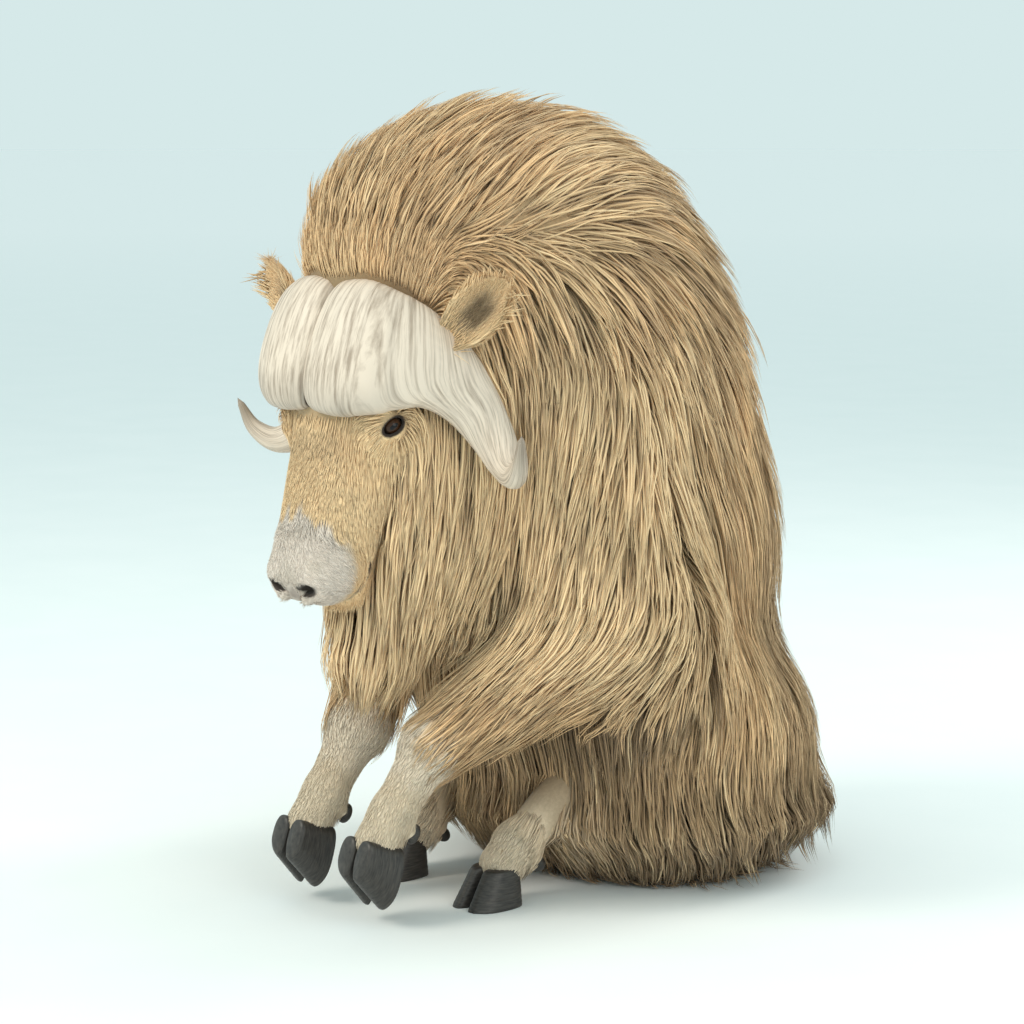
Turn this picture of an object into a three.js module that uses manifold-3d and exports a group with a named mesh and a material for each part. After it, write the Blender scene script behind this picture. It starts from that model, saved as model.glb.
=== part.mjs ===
// A life-size bull muskox sitting upright on its rump, as a museum would show it.
// Millimetres, +Z up. The floor is z = 0, the animal faces -Y, and its left side is +X.
// The outer shape is written as a few rounded volumes that melt into each other, each in millimetres.
// Every body part is a closed loft whose rings are measured against those volumes.
import * as THREE from "three";
import { mergeVertices } from "three/addons/utils/BufferGeometryUtils.js";
import Module from "manifold-3d";

const wasm = await Module();
wasm.setup();

// ---------------------------------------------------------------- driving dimensions
const GAP = 0.6; // how far a part is grown before it is cut out of its neighbour
const POLL = new THREE.Vector3(0, -500, 1100); // top of the head, between the horn bases
const FACE_SLOPE = 70; // degrees below level, from the poll towards the nose
const HEAD = 1.07; // head size against a bull's face of 500 mm
const FOOT_X = { fore: 100, hind: 136 }; // feet, from the middle of the body
const WRIST = [108, -398, 298],
  FORE_FETLOCK = [100, -478, 192],
  FORE_HOOF_TOP = [100, -512, 142];
const HOCK = [150, -65, 222],
  HIND_FETLOCK = [138, -222, 102],
  HIND_HOOF_TOP = [136, -256, 68];
const EYE_R = 21;

// ---------------------------------------------------------------- small vector helpers
const v3 = (a) => (a.isVector3 ? a.clone() : new THREE.Vector3(a[0], a[1], a[2]));
const slope = THREE.MathUtils.degToRad(FACE_SLOPE);
const NOSEWARD = new THREE.Vector3(0, -Math.cos(slope), -Math.sin(slope));
const BROWWARD = new THREE.Vector3(0, -Math.sin(slope), Math.cos(slope));
const SIDE = new THREE.Vector3(1, 0, 0);
// Head frame: x to the side, u from the poll along the face, v out of the forehead, in millimetres of a 500 mm face.
const H = (x, u, v) =>
  POLL.clone()
    .addScaledVector(SIDE, x * HEAD)
    .addScaledVector(NOSEWARD, u * HEAD)
    .addScaledVector(BROWWARD, v * HEAD);
const HR = (r) => r.map((x) => x * HEAD);

// ---------------------------------------------------------------- rounded volumes, as distance functions
const smin = (a, b, k) => {
  const h = Math.max(k - Math.abs(a - b), 0) / k;
  return Math.min(a, b) - h * h * k * 0.25;
};
const inHead = (q) => new THREE.Vector3(q.x, q.dot(NOSEWARD), q.dot(BROWWARD));
const egg = (p, c, r, inHeadFrame = false) => {
  let q = p.clone().sub(v3(c));
  if (inHeadFrame) q = inHead(q);
  const k0 = Math.hypot(q.x / r[0], q.y / r[1], q.z / r[2]);
  const k1 = Math.hypot(q.x / r[0] ** 2, q.y / r[1] ** 2, q.z / r[2] ** 2);
  return (k0 * (k0 - 1)) / Math.max(k1, 1e-9);
};
const limb = (p, a, b, ra, rb, flatAlong = null, flatBy = 1) => {
  const A = v3(a),
    d = v3(b).sub(A),
    q = p.clone().sub(A);
  const t = THREE.MathUtils.clamp(q.dot(d) / d.lengthSq(), 0, 1);
  const w = q.addScaledVector(d, -t);
  if (flatAlong) w.addScaledVector(flatAlong, (1 / flatBy - 1) * w.dot(flatAlong));
  return w.length() - (ra + (rb - ra) * t);
};
const onLeft = (f) => (p) => f(new THREE.Vector3(Math.abs(p.x), p.y, p.z));

// Coat of the trunk: seat, barrel, shoulders, hump and the flare of the skirt at its foot.
const trunk = (p) => {
  let d = egg(p, [0, 165, 215], [415, 340, 340]);
  d = smin(d, egg(p, [0, 35, 620], [405, 398, 500]), 100);
  d = smin(d, egg(p, [0, -48, 950], [402, 390, 360]), 100);
  d = smin(d, egg(p, [0, -155, 1155], [338, 396, 300]), 100);
  d = smin(d, egg(p, [0, 170, 125], [440, 372, 92]), 90);
  return smin(d, limb(p, [0, -200, 1090], [0, -325, 1040], 275, 236), 80); // neck
};
const mane = (p) => {
  const d = limb(p, [0, -265, 930], [0, -310, 700], 275, 238);
  return smin(d, limb(p, [0, -385, 655], [0, -440, 475], 168, 100), 70);
};
const head = onLeft((p) => {
  let d = egg(p, H(0, 105, -105), HR([138, 150, 118]), true);
  d = smin(d, limb(p, H(0, 130, -104), H(0, 400, -92), 114 * HEAD, 76 * HEAD, SIDE, 1.2), 50);
  d = smin(d, egg(p, H(0, 430, -94), HR([100, 76, 68]), true), 30);
  d = smin(d, limb(p, H(0, 140, -205), H(0, 430, -152), 78 * HEAD, 50 * HEAD, SIDE, 1.25), 40);
  d = smin(d, egg(p, H(88, 180, -168), HR([66, 125, 92]), true), 40);
  return smin(d, egg(p, H(112, 192, -66), HR([38, 50, 42]), true), 30);
});
const foreUpper = onLeft((p) => {
  const d = limb(p, [205, -140, 905], [288, -118, 545], 200, 186);
  return smin(d, limb(p, [286, -130, 510], [112, -390, 303], 162, 76), 90);
});
const foreLower = onLeft((p) => {
  const d = limb(p, WRIST, FORE_FETLOCK, 54, 41);
  return smin(smin(d, limb(p, FORE_FETLOCK, FORE_HOOF_TOP, 44, 47), 20), egg(p, WRIST, [57, 57, 52]), 20);
});
const thigh = onLeft((p) => {
  const d = limb(p, [232, 150, 278], [280, -60, 452], 212, 168);
  return smin(d, limb(p, [262, -55, 400], [160, -58, 255], 140, 88), 80);
});
const hindLower = onLeft((p) => {
  const d = limb(p, HOCK, HIND_FETLOCK, 62, 41);
  return smin(d, limb(p, HIND_FETLOCK, HIND_HOOF_TOP, 46, 47), 20);
});

// ---------------------------------------------------------------- lofts
// Triangles between rings of equal count, closed by a fan at each end.
function closeRings(rings, startTip, endTip) {
  const n = rings[0].length,
    pos = [],
    idx = [];
  for (const r of rings) for (const q of r) pos.push(q.x, q.y, q.z);
  const mean = (r) => r.reduce((s, q) => s.add(q), new THREE.Vector3()).divideScalar(n);
  for (const tip of [startTip ?? mean(rings[0]), endTip ?? mean(rings.at(-1))]) pos.push(tip.x, tip.y, tip.z);
  const first = rings.length * n,
    last = first + 1;
  for (let i = 0; i < rings.length - 1; i++)
    for (let j = 0; j < n; j++) {
      const a = i * n + j,
        b = i * n + ((j + 1) % n);
      idx.push(a, b, a + n, b, b + n, a + n);
    }
  for (let j = 0; j < n; j++) {
    idx.push(first, (j + 1) % n, j);
    idx.push(last, (rings.length - 1) * n + j, (rings.length - 1) * n + ((j + 1) % n));
  }
  const g = new THREE.BufferGeometry();
  g.setAttribute("position", new THREE.BufferAttribute(new Float32Array(pos), 3));
  const at = (k) => new THREE.Vector3(pos[3 * k], pos[3 * k + 1], pos[3 * k + 2]);
  let volume = 0;
  for (let k = 0; k < idx.length; k += 3) volume += at(idx[k]).dot(at(idx[k + 1]).cross(at(idx[k + 2])));
  g.setIndex(volume < 0 ? idx.reverse() : idx);
  return g;
}
// Distance from o, a point inside a volume, to where the direction d first leaves it.
function reach(volume, o, d, most, step = 10) {
  const at = (r) => volume(o.clone().addScaledVector(d, r));
  if (at(0) > 0) return 2;
  let lo = 0;
  while (lo + step < most && at(lo + step) <= 0) lo += step;
  let hi = lo + step;
  for (let i = 0; i < 14; i++) {
    const m = (lo + hi) / 2;
    if (at(m) > 0) hi = m;
    else lo = m;
  }
  return Math.max(lo, 2);
}
// A round lump seen from one centre inside it.
function lump(volume, centre, detail, most, grow = 0) {
  const g = new THREE.IcosahedronGeometry(1, detail);
  for (const k of ["normal", "uv"]) g.deleteAttribute(k);
  const c = mergeVertices(g, 1e-4),
    p = c.attributes.position,
    o = v3(centre);
  for (let i = 0; i < p.count; i++) {
    const d = new THREE.Vector3().fromBufferAttribute(p, i).normalize();
    const q = o.clone().addScaledVector(d, reach(volume, o, d, most) + grow);
    p.setXYZ(i, q.x, q.y, q.z);
  }
  return c;
}
// Rings square to a smooth axis. stations are shares of the axis; a domed end closes on a point found along the axis.
function loftAlong(volume, axis, sides, stations, most, grow = 0, { domeStart = false, domeEnd = false } = {}) {
  const curve = new THREE.CatmullRomCurve3(axis.map(v3), false, "centripetal");
  const frames = stations.map((t) => {
    const T = curve.getTangent(t).normalize();
    const N = SIDE.clone().addScaledVector(T, -SIDE.dot(T)).normalize();
    return { o: curve.getPoint(t), T, N, B: new THREE.Vector3().crossVectors(T, N) };
  });
  const rings = frames.map(({ o, N, B }) =>
    Array.from({ length: sides }, (_, j) => {
      const a = (2 * Math.PI * (j + 0.5)) / sides;
      const d = N.clone().multiplyScalar(Math.cos(a)).addScaledVector(B, Math.sin(a));
      return o.clone().addScaledVector(d, reach(volume, o, d, most) + grow);
    }),
  );
  const end = (f, sign, dome) => {
    const d = f.T.clone().multiplyScalar(sign);
    return f.o.clone().addScaledVector(d, dome ? reach(volume, f.o, d, most) + grow : grow);
  };
  return closeRings(rings, end(frames[0], -1, domeStart), end(frames.at(-1), 1, domeEnd));
}
// Shares 0..1 that crowd towards the domed ends.
const even = (n) => Array.from({ length: n }, (_, i) => i / (n - 1));
const domed = (n, start, end, soft = 0.55) =>
  even(n).map((t) => {
    const s = start && end ? (1 - Math.cos(Math.PI * t)) / 2 : end ? Math.sin((Math.PI / 2) * t) : start ? 1 - Math.cos((Math.PI / 2) * t) : t;
    return soft * s + (1 - soft) * t;
  });

// ---------------------------------------------------------------- booleans
function solid(g) {
  const c = g.clone();
  for (const k of ["normal", "uv"]) if (c.getAttribute(k)) c.deleteAttribute(k);
  const m = mergeVertices(c, 1e-3);
  const s = new wasm.Manifold(
    new wasm.Mesh({ numProp: 3, vertProperties: m.attributes.position.array, triVerts: new Uint32Array(m.index.array) }),
  );
  return s;
}
const mainBody = (s) => s.decompose().reduce((a, b) => (b.volume() > a.volume() ? b : a));
function geometry(s) {
  const m = s.getMesh(),
    g = new THREE.BufferGeometry();
  g.setAttribute("position", new THREE.BufferAttribute(new Float32Array(m.vertProperties), 3));
  g.setIndex(new THREE.BufferAttribute(new Uint32Array(m.triVerts), 1));
  return g;
}
const cut = (s, ...others) => mainBody(others.reduce((a, b) => a.subtract(b), s));
// A big block that fills everything on the far side of a plane through c with normal n.
function beyond(c, n, gap = 0) {
  const size = 4000,
    g = new THREE.BoxGeometry(size, size, size);
  g.translate(0, 0, size / 2);
  g.applyQuaternion(new THREE.Quaternion().setFromUnitVectors(new THREE.Vector3(0, 0, 1), v3(n).normalize()));
  const o = v3(c).addScaledVector(v3(n).normalize(), gap);
  g.translate(o.x, o.y, o.z);
  return solid(g);
}
const mirrored = (g) => {
  const c = g.clone().applyMatrix4(new THREE.Matrix4().makeScale(-1, 1, 1));
  const i = c.index.array;
  for (let k = 0; k < i.length; k += 3) [i[k + 1], i[k + 2]] = [i[k + 2], i[k + 1]];
  return c;
};

// ---------------------------------------------------------------- trunk, head and mane
const TRUNK_AXIS = [[0, 150, -80], [0, 125, 60], [0, 70, 350], [0, 20, 700], [0, -70, 1000], [0, -145, 1220], [0, -155, 1449]];
const trunkLoft = (grow = 0) =>
  loftAlong(trunk, TRUNK_AXIS, 26, [0, 0.053, 0.09, 0.12, 0.16, 0.24, 0.34, 0.45, 0.56, 0.66, 0.75, 0.83, 0.89, 0.94, 0.975, 0.995], 800, grow, { domeEnd: true });
const headLoft = (grow = 0) =>
  loftAlong(head, [H(0, 5, -115), H(0, 200, -120), H(0, 455, -104)], 18, domed(11, false, true, 0.6), 330, grow, { domeEnd: true });
const maneLoft = (grow = 0) =>
  loftAlong(mane, [[0, -220, 1020], [0, -270, 850], [0, -345, 670], [0, -440, 465]], 14, domed(8, true, true, 0.6), 420, grow, { domeStart: true, domeEnd: true });

// ---------------------------------------------------------------- legs
const shoulderLoft = (grow = 0) =>
  loftAlong(foreUpper, [[200, -140, 1000], [290, -118, 470]], 12, domed(7, true, true, 0.7), 420, grow, { domeStart: true, domeEnd: true });
const forearmLoft = (grow = 0) =>
  loftAlong(foreUpper, [[284, -134, 500], [110, -394, 300]], 10, domed(5, true, false, 0.4), 420, grow, { domeStart: true });
const thighLump = (grow = 0) => lump(thigh, [250, 10, 368], 2, 500, grow);
const foreLowerLoft = (grow = 0) => {
  const back = v3(WRIST).add(v3(WRIST).sub(v3(FORE_FETLOCK)).setLength(26));
  return loftAlong(foreLower, [back, WRIST, FORE_FETLOCK, FORE_HOOF_TOP], 10, even(7), 90, grow);
};
const hindLowerLoft = (grow = 0) => {
  const back = v3(HOCK).add(v3(HOCK).sub(v3(HIND_FETLOCK)).setLength(20));
  return loftAlong(hindLower, [back, HOCK, HIND_FETLOCK, HIND_HOOF_TOP], 10, even(6), 110, grow);
};

// ---------------------------------------------------------------- hooves: two claws and two dew claws on each foot
// A claw is a stack of half-moon rings from the hair line down to the sole. s runs to the toe, l away from the cleft, n upwards.
const HOOF = { length: 118, width: 56, height: 66, cleft: 2.2, lean: 0.36 };
function claw(outward, foot, grow = 0) {
  const { o, toe, up } = foot,
    lat = SIDE.clone().multiplyScalar(outward),
    levels = [1.12, 0.7, 0.3, 0],
    sides = 11;
  const rings = levels.map((h) => {
    const long = HOOF.length * foot.size * (0.66 + 0.34 * (1 - h)),
      wide = HOOF.width * foot.size * (0.78 + 0.22 * (1 - h)),
      forward = HOOF.lean * HOOF.height * (1 - h) * foot.size;
    return Array.from({ length: sides }, (_, j) => {
      const a = (2 * Math.PI * j) / sides,
        c = Math.cos(a),
        s = Math.sin(a);
      const along = (long / 2) * Math.sign(c) * Math.abs(c) ** 0.85 + forward - 0.1 * long;
      const across = wide * (0.5 + 0.5 * Math.sign(s) * Math.abs(s) ** 0.7 * (1 - 0.28 * Math.max(c, 0) ** 2));
      const pinch = 0.16 * wide * Math.max(c, 0) ** 3; // toes turn in
      const g = grow * 1.2;
      return o
        .clone()
        .addScaledVector(toe, along + g * c)
        .addScaledVector(lat, HOOF.cleft + across - pinch + g * s)
        .addScaledVector(up, h * HOOF.height * foot.size + g * (h > 0.5 ? 1 : h < 0.1 ? -1 : 0));
    });
  });
  return closeRings(rings);
}
const HIND_FOOT = { o: v3([FOOT_X.hind, -284, 0]), toe: v3([0, -1, 0]), up: v3([0, 0, 1]), size: 0.94 };
const DROOP = THREE.MathUtils.degToRad(72); // how far the hanging fore hooves point down
const FORE_FOOT = {
  o: v3([FOOT_X.fore, -524, 102]).addScaledVector(v3([0, Math.sin(DROOP), -Math.cos(DROOP)]), 26),
  toe: v3([0, -Math.cos(DROOP), -Math.sin(DROOP)]),
  up: v3([0, -Math.sin(DROOP), Math.cos(DROOP)]),
  size: 0.98,
};
// On the hanging foot the sole faces back and down, so "up" is the front of the hoof wall.
function dewClaw(side, foot, at, grow = 0) {
  const g = new THREE.SphereGeometry(1, 7, 5);
  g.scale(11 + grow, 14 + grow, 19 + grow);
  g.rotateX(foot.tilt);
  g.translate(at[0] + side * 22, at[1], at[2]);
  return g;
}

// ---------------------------------------------------------------- horns: a broad boss that sweeps down, out and up to a point
// Rows: x, u, v of the middle, half breadth along the face, half thickness.
const HORN_ROWS = [
  [5, 88, 0, 106, 38],
  [30, 88, 8, 112, 44],
  [75, 88, 8, 114, 47],
  [118, 86, -8, 106, 46],
  [156, 84, -40, 90, 42],
  [184, 92, -88, 68, 38],
  [208, 120, -138, 50, 33],
  [238, 163, -177, 38, 29],
  [279, 204, -190, 30, 25],
  [323, 224, -178, 23, 20],
  [359, 212, -152, 15, 14],
  [379, 180, -126, 7, 7],
];
function hornLoft(grow = 0) {
  const mid = new THREE.CatmullRomCurve3(HORN_ROWS.map(([x, u, v]) => H(x, u, v)), false, "centripetal");
  const size = new THREE.CatmullRomCurve3(HORN_ROWS.map((r) => new THREE.Vector3(r[3], r[4], 0)), false, "centripetal");
  const stations = 15,
    sides = 14;
  const rings = even(stations).map((t) => {
    const o = mid.getPoint(t),
      T = mid.getTangent(t).normalize(),
      w = size.getPoint(t).multiplyScalar(HEAD);
    const broad = NOSEWARD.clone().addScaledVector(T, -NOSEWARD.dot(T)).normalize();
    const thick = new THREE.Vector3().crossVectors(broad, T);
    if (t === 0) T.copy(SIDE);
    return Array.from({ length: sides }, (_, j) => {
      const a = (2 * Math.PI * j) / sides,
        c = Math.cos(a),
        s = Math.sin(a),
        q = 0.86; // a little squarer than an ellipse
      return o
        .clone()
        .addScaledVector(broad, (w.x + grow) * Math.sign(c) * Math.abs(c) ** q)
        .addScaledVector(thick, (w.y + grow) * Math.sign(s) * Math.abs(s) ** q);
    });
  });
  const tip = rings.at(-1).reduce((s, q) => s.add(q), new THREE.Vector3()).divideScalar(sides);
  const ahead = mid.getTangent(1).normalize();
  return closeRings(rings, null, tip.addScaledVector(ahead, 16 + grow));
}

// ---------------------------------------------------------------- ears: a flat leaf with a hollow on its front side
const EAR_ROOT = [188, -442, 1014],
  EAR_TIP = [350, -414, 1138];
function earLoft(grow = 0) {
  const a = v3(EAR_ROOT),
    d = v3(EAR_TIP).sub(a),
    L = d.length();
  d.normalize();
  const front = v3([0.25, -1, -0.15]).addScaledVector(d, 0).normalize();
  front.addScaledVector(d, -front.dot(d)).normalize();
  const wide = new THREE.Vector3().crossVectors(d, front);
  const sides = 10;
  const rings = [0, 0.16, 0.36, 0.58, 0.8, 0.96].map((t) => {
    const w = 55 * Math.sin(Math.PI * (0.2 + 0.78 * t)) ** 0.62 + 2,
      th = 15 * (1 - 0.55 * t),
      cup = 16 * Math.sin(Math.PI * Math.min(1, t * 1.15)) * (t < 0.9 ? 1 : 0.3);
    return Array.from({ length: sides }, (_, j) => {
      const q = (2 * Math.PI * j) / sides,
        c = Math.cos(q),
        s = Math.sin(q);
      const hollow = s > 0 ? -cup * (1 - c * c) : -cup * 0.4 * (1 - c * c);
      return a
        .clone()
        .addScaledVector(d, L * t - (t === 0 ? grow : 0))
        .addScaledVector(wide, (w + grow) * c)
        .addScaledVector(front, (th + grow) * s + hollow + 6 * c * c);
    });
  });
  return closeRings(rings, null, a.clone().addScaledVector(d, L * 1.02 + grow));
}

// ---------------------------------------------------------------- eyes and tail
const EYE = H(131, 192, -64);
const eyeBall = (grow = 0) => new THREE.SphereGeometry(EYE_R + grow, 12, 9).translate(EYE.x, EYE.y, EYE.z);
const TAIL = [[0, 455, 200], [0, 515, 145], [0, 560, 72]];
const tailVolume = (p) => smin(limb(p, TAIL[0], TAIL[1], 52, 50), limb(p, TAIL[1], TAIL[2], 50, 32), 30);
const tailLoft = (grow = 0) => loftAlong(tailVolume, TAIL, 12, even(5), 120, grow, { domeStart: true, domeEnd: true });

// ---------------------------------------------------------------- cutting it all apart
const S = (g) => solid(g);
const both = (make, grow) => [S(make(grow)), S(mirrored(make(grow)))];
const floor = beyond([0, 0, 0], [0, 0, -1]);
const [eyeL, eyeR] = both(eyeBall, 0),
  [eyeLg, eyeRg] = both(eyeBall, GAP);
const hornRoom = beyond([2.5, 0, 0], [-1, 0, 0]); // keeps the cleft between the bosses open
const hornWhole = cut(S(hornLoft(0)), hornRoom, S(eyeBall(GAP)));
const hornLg = S(hornLoft(GAP)),
  hornRg = S(mirrored(hornLoft(GAP)));
const [earLg, earRg] = both(earLoft, 2 * GAP);
const headWhole = S(headLoft(0)),
  headG = S(headLoft(GAP));

// The lower jaw is parted from the head along the line of the mouth.
const MOUTH_A = H(0, 505, -133),
  MOUTH_B = H(0, 100, -172);
const mouthDir = MOUTH_A.clone().sub(MOUTH_B).normalize();
const mouthDown = new THREE.Vector3().crossVectors(mouthDir, SIDE).normalize();
if (mouthDown.dot(BROWWARD) > 0) mouthDown.negate();
const headCut = cut(headWhole, hornLg, hornRg, eyeLg, eyeRg, earLg, earRg);
// The jaw runs from its angle, ANGLE_U along the face, to the chin; one block larger than the other leaves the gap.
const ANGLE_U = 165;
const jawRoom = (gap) => beyond(MOUTH_A, mouthDown, gap).intersect(beyond(H(0, ANGLE_U, 0), NOSEWARD, gap));
const skull = mainBody(headCut.subtract(jawRoom(-0.4))),
  jaw = mainBody(headCut.intersect(jawRoom(0.4)));

const ear = cut(S(earLoft(0)), hornLg);
const maneBody = cut(S(maneLoft(0)), headG, hornLg, hornRg, earLg, earRg);
const maneG = S(maneLoft(GAP));

const foreUpperSolid = (grow) => S(shoulderLoft(grow)).add(S(forearmLoft(grow)));
const flipX = (m) => S(mirrored(geometry(m)));
const foreUpperG = [foreUpperSolid(GAP)];
foreUpperG.push(flipX(foreUpperG[0]));
// The head and the mane are faceted differently left and right, so each shoulder is cut by them on its own side.
const foreUpperWhole = cut(foreUpperSolid(0), S(foreLowerLoft(GAP)), beyond([1.2, 0, 0], [-1, 0, 0]));
const foreUpperBodies = [foreUpperWhole, flipX(foreUpperWhole)].map((m) => cut(m, maneG, headG, hornLg, hornRg, earLg, earRg));
const foreClaws = [1, -1].map((s) => claw(s, FORE_FOOT)),
  hindClaws = [1, -1].map((s) => claw(s, HIND_FOOT));
const FORE_DEW = [100, -449, 154],
  HIND_DEW = [138, -193, 66];
const foreTilt = { tilt: -0.5 },
  hindTilt = { tilt: 0.9 };
const foreDew = [1, -1].map((s) => [dewClaw(s, foreTilt, FORE_DEW), dewClaw(s, foreTilt, FORE_DEW, GAP)]);
const hindDew = [1, -1].map((s) => [dewClaw(s, hindTilt, HIND_DEW), dewClaw(s, hindTilt, HIND_DEW, GAP)]);
const foreShin = cut(S(foreLowerLoft(0)), ...[1, -1].map((s) => S(claw(s, FORE_FOOT, GAP))), ...foreDew.map((d) => S(d[1])));
const hindShin = cut(S(hindLowerLoft(0)), ...[1, -1].map((s) => S(claw(s, HIND_FOOT, GAP))), ...hindDew.map((d) => S(d[1])), floor);
const thighBody = cut(S(thighLump(0)), foreUpperG[0], S(hindLowerLoft(GAP)), floor, beyond([1.2, 0, 0], [-1, 0, 0]));
const thighG = both(thighLump, GAP),
  shinG = [...both(hindLowerLoft, GAP), ...both(foreLowerLoft, GAP)];

const trunkBody = cut(
  S(trunkLoft(0)), floor, maneG, headG, hornLg, hornRg, earLg, earRg, ...foreUpperG, ...thighG, ...shinG, S(tailLoft(GAP)),
);
// Trunk, parted across: the hump with the neck, the barrel, and the rump it sits on.
const HUMP_CUT = [[0, -60, 985], [0, -0.18, 1]],
  RUMP_CUT = [[0, 60, 400], [0, -0.1, 1]],
  NECK_CUT = [[0, -275, 1120], [0, -1, 0.28]];
const above = (c, gap) => beyond(c[0], c[1], gap),
  below = (c, gap) => beyond(c[0], c[1].map((x) => -x), gap);
const humpAll = cut(trunkBody, below(HUMP_CUT, -0.5));
const hump = cut(humpAll, above(NECK_CUT, -0.5)),
  neck = cut(humpAll, below(NECK_CUT, -0.5));
const barrel = cut(trunkBody, above(HUMP_CUT, -0.5), below(RUMP_CUT, -0.5)),
  rump = cut(trunkBody, above(RUMP_CUT, -0.5));
const tail = cut(S(tailLoft(0)), floor);

// ---------------------------------------------------------------- materials and the finished group
const coatMaterial = new THREE.MeshStandardMaterial({ color: 0xb79f74, roughness: 0.85, metalness: 0 });
const darkCoatMaterial = new THREE.MeshStandardMaterial({ color: 0x94805a, roughness: 0.88, metalness: 0 });
const paleCoatMaterial = new THREE.MeshStandardMaterial({ color: 0xe2d5bb, roughness: 0.85, metalness: 0 });
const hornMaterial = new THREE.MeshStandardMaterial({ color: 0xece4d4, roughness: 0.55, metalness: 0 });
const hoofMaterial = new THREE.MeshStandardMaterial({ color: 0x2e2a28, roughness: 0.42, metalness: 0 });
const eyeMaterial = new THREE.MeshStandardMaterial({ color: 0x1d1310, roughness: 0.08, metalness: 0 });

const muskox = new THREE.Group();
function add(name, g, material) {
  const mesh = new THREE.Mesh(g, material);
  mesh.name = name;
  muskox.add(mesh);
}
function addPair(name, g, material) {
  add(name + "_left", g, material);
  add(name + "_right", mirrored(g), material);
}
add("head", geometry(skull), coatMaterial);
add("lower_jaw", geometry(jaw), paleCoatMaterial);
add("throat_mane", geometry(maneBody), coatMaterial);
add("neck", geometry(neck), coatMaterial);
add("hump", geometry(hump), coatMaterial);
add("barrel", geometry(barrel), coatMaterial);
add("rump", geometry(rump), darkCoatMaterial);
add("tail", geometry(tail), darkCoatMaterial);
addPair("ear", geometry(ear), coatMaterial);
addPair("eye", eyeBall(0), eyeMaterial);
addPair("horn", geometry(hornWhole), hornMaterial);
["left", "right"].forEach((side, i) => add("foreleg_upper_" + side, geometry(foreUpperBodies[i]), coatMaterial));
addPair("foreleg_shin", geometry(foreShin), paleCoatMaterial);
addPair("hindleg_thigh", geometry(thighBody), coatMaterial);
addPair("hindleg_shin", geometry(hindShin), paleCoatMaterial);
foreClaws.forEach((g, i) => addPair("forehoof_" + ["outer", "inner"][i], g, hoofMaterial));
hindClaws.forEach((g, i) => addPair("hindhoof_" + ["outer", "inner"][i], g, hoofMaterial));
foreDew.forEach((d, i) => addPair("fore_dewclaw_" + ["outer", "inner"][i], d[0], hoofMaterial));
hindDew.forEach((d, i) => addPair("hind_dewclaw_" + ["outer", "inner"][i], d[0], hoofMaterial));

export default muskox;
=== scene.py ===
# Looks of a life-size muskox: one skin over the flesh, horns, hooves, eyes, and a coat of solid locks.
# Metres, +Z up, the animal faces -Y and its left side is +X, as in the frame.
import bpy, math
import numpy as np
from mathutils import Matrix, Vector


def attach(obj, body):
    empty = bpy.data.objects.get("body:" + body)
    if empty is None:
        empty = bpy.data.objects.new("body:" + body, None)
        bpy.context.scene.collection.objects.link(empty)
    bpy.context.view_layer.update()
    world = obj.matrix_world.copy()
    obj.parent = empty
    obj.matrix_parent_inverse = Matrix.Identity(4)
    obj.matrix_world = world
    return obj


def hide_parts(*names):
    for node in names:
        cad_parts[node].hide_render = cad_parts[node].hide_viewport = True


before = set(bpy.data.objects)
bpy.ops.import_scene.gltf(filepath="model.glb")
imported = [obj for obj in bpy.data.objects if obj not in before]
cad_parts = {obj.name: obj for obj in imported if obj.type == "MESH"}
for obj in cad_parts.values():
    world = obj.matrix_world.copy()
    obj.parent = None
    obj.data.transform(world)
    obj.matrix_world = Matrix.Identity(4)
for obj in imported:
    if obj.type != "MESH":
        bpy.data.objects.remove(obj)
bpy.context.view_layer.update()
rng = np.random.default_rng(20)
pi = math.pi

# ================================================================ camera, light and world
AZIMUTH, ELEVATION, AWAY, PX = 50.0, 8.0, 5.5, 0.0019  # PX: metres across one pixel of the photograph at the body's axis
a, e = math.radians(AZIMUTH), math.radians(ELEVATION)
back = Vector((math.sin(a) * math.cos(e), -math.cos(a) * math.cos(e), math.sin(e)))
right = Vector((math.cos(a), math.sin(a), 0))
up = back.cross(right)
cam = bpy.data.cameras.new("camera")
cam.sensor_width, cam.lens = 36, 36 * AWAY / (1024 * PX)
camera = bpy.data.objects.new("camera", cam)
camera.location = -right * ((560 - 512) * PX) + up * ((863 - 512) * PX) + back * AWAY
camera.rotation_euler = (-back).to_track_quat("-Z", "Y").to_euler()
bpy.context.scene.collection.objects.link(camera)
bpy.context.scene.camera = camera
bpy.context.scene.view_settings.view_transform = "Standard"


def srgb(*c):
    return [((x / 255 + 0.055) / 1.055) ** 2.4 if x > 10 else x / 255 / 12.92 for x in c]


def lamp(name, where, aim, size, power, colour=(1, 1, 1)):
    l = bpy.data.lights.new(name, "AREA")
    l.shape, l.size, l.energy, l.color = "DISK", size, power, colour
    o = bpy.data.objects.new(name, l)
    o.location = where
    o.rotation_euler = (Vector(aim) - Vector(where)).to_track_quat("-Z", "Y").to_euler()
    bpy.context.scene.collection.objects.link(o)


lamp("key", (-1.6, -4.6, 4.4), (0, -0.1, 0.8), 2.4, 165, (1.0, 0.93, 0.82))
lamp("fill", (4.6, -1.0, 2.4), (0, 0, 0.7), 3.2, 50, (1.0, 0.95, 0.88))
lamp("rim", (1.0, 4.2, 3.6), (0, 0, 0.9), 2.6, 85, (1.0, 0.95, 0.88))
world = bpy.data.worlds.new("pale_studio")
bpy.context.scene.world = world
world.use_nodes = True
world.node_tree.nodes["Background"].inputs[0].default_value = (*srgb(214, 233, 233), 1)
world.node_tree.nodes["Background"].inputs[1].default_value = 1.0


# ================================================================ small tools
def node(nt, kind, **values):
    n = nt.nodes.new(kind)
    for k, v in values.items():
        if k in n.inputs.keys():
            n.inputs[k].default_value = v
        else:
            setattr(n, k, v)
    return n


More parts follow.
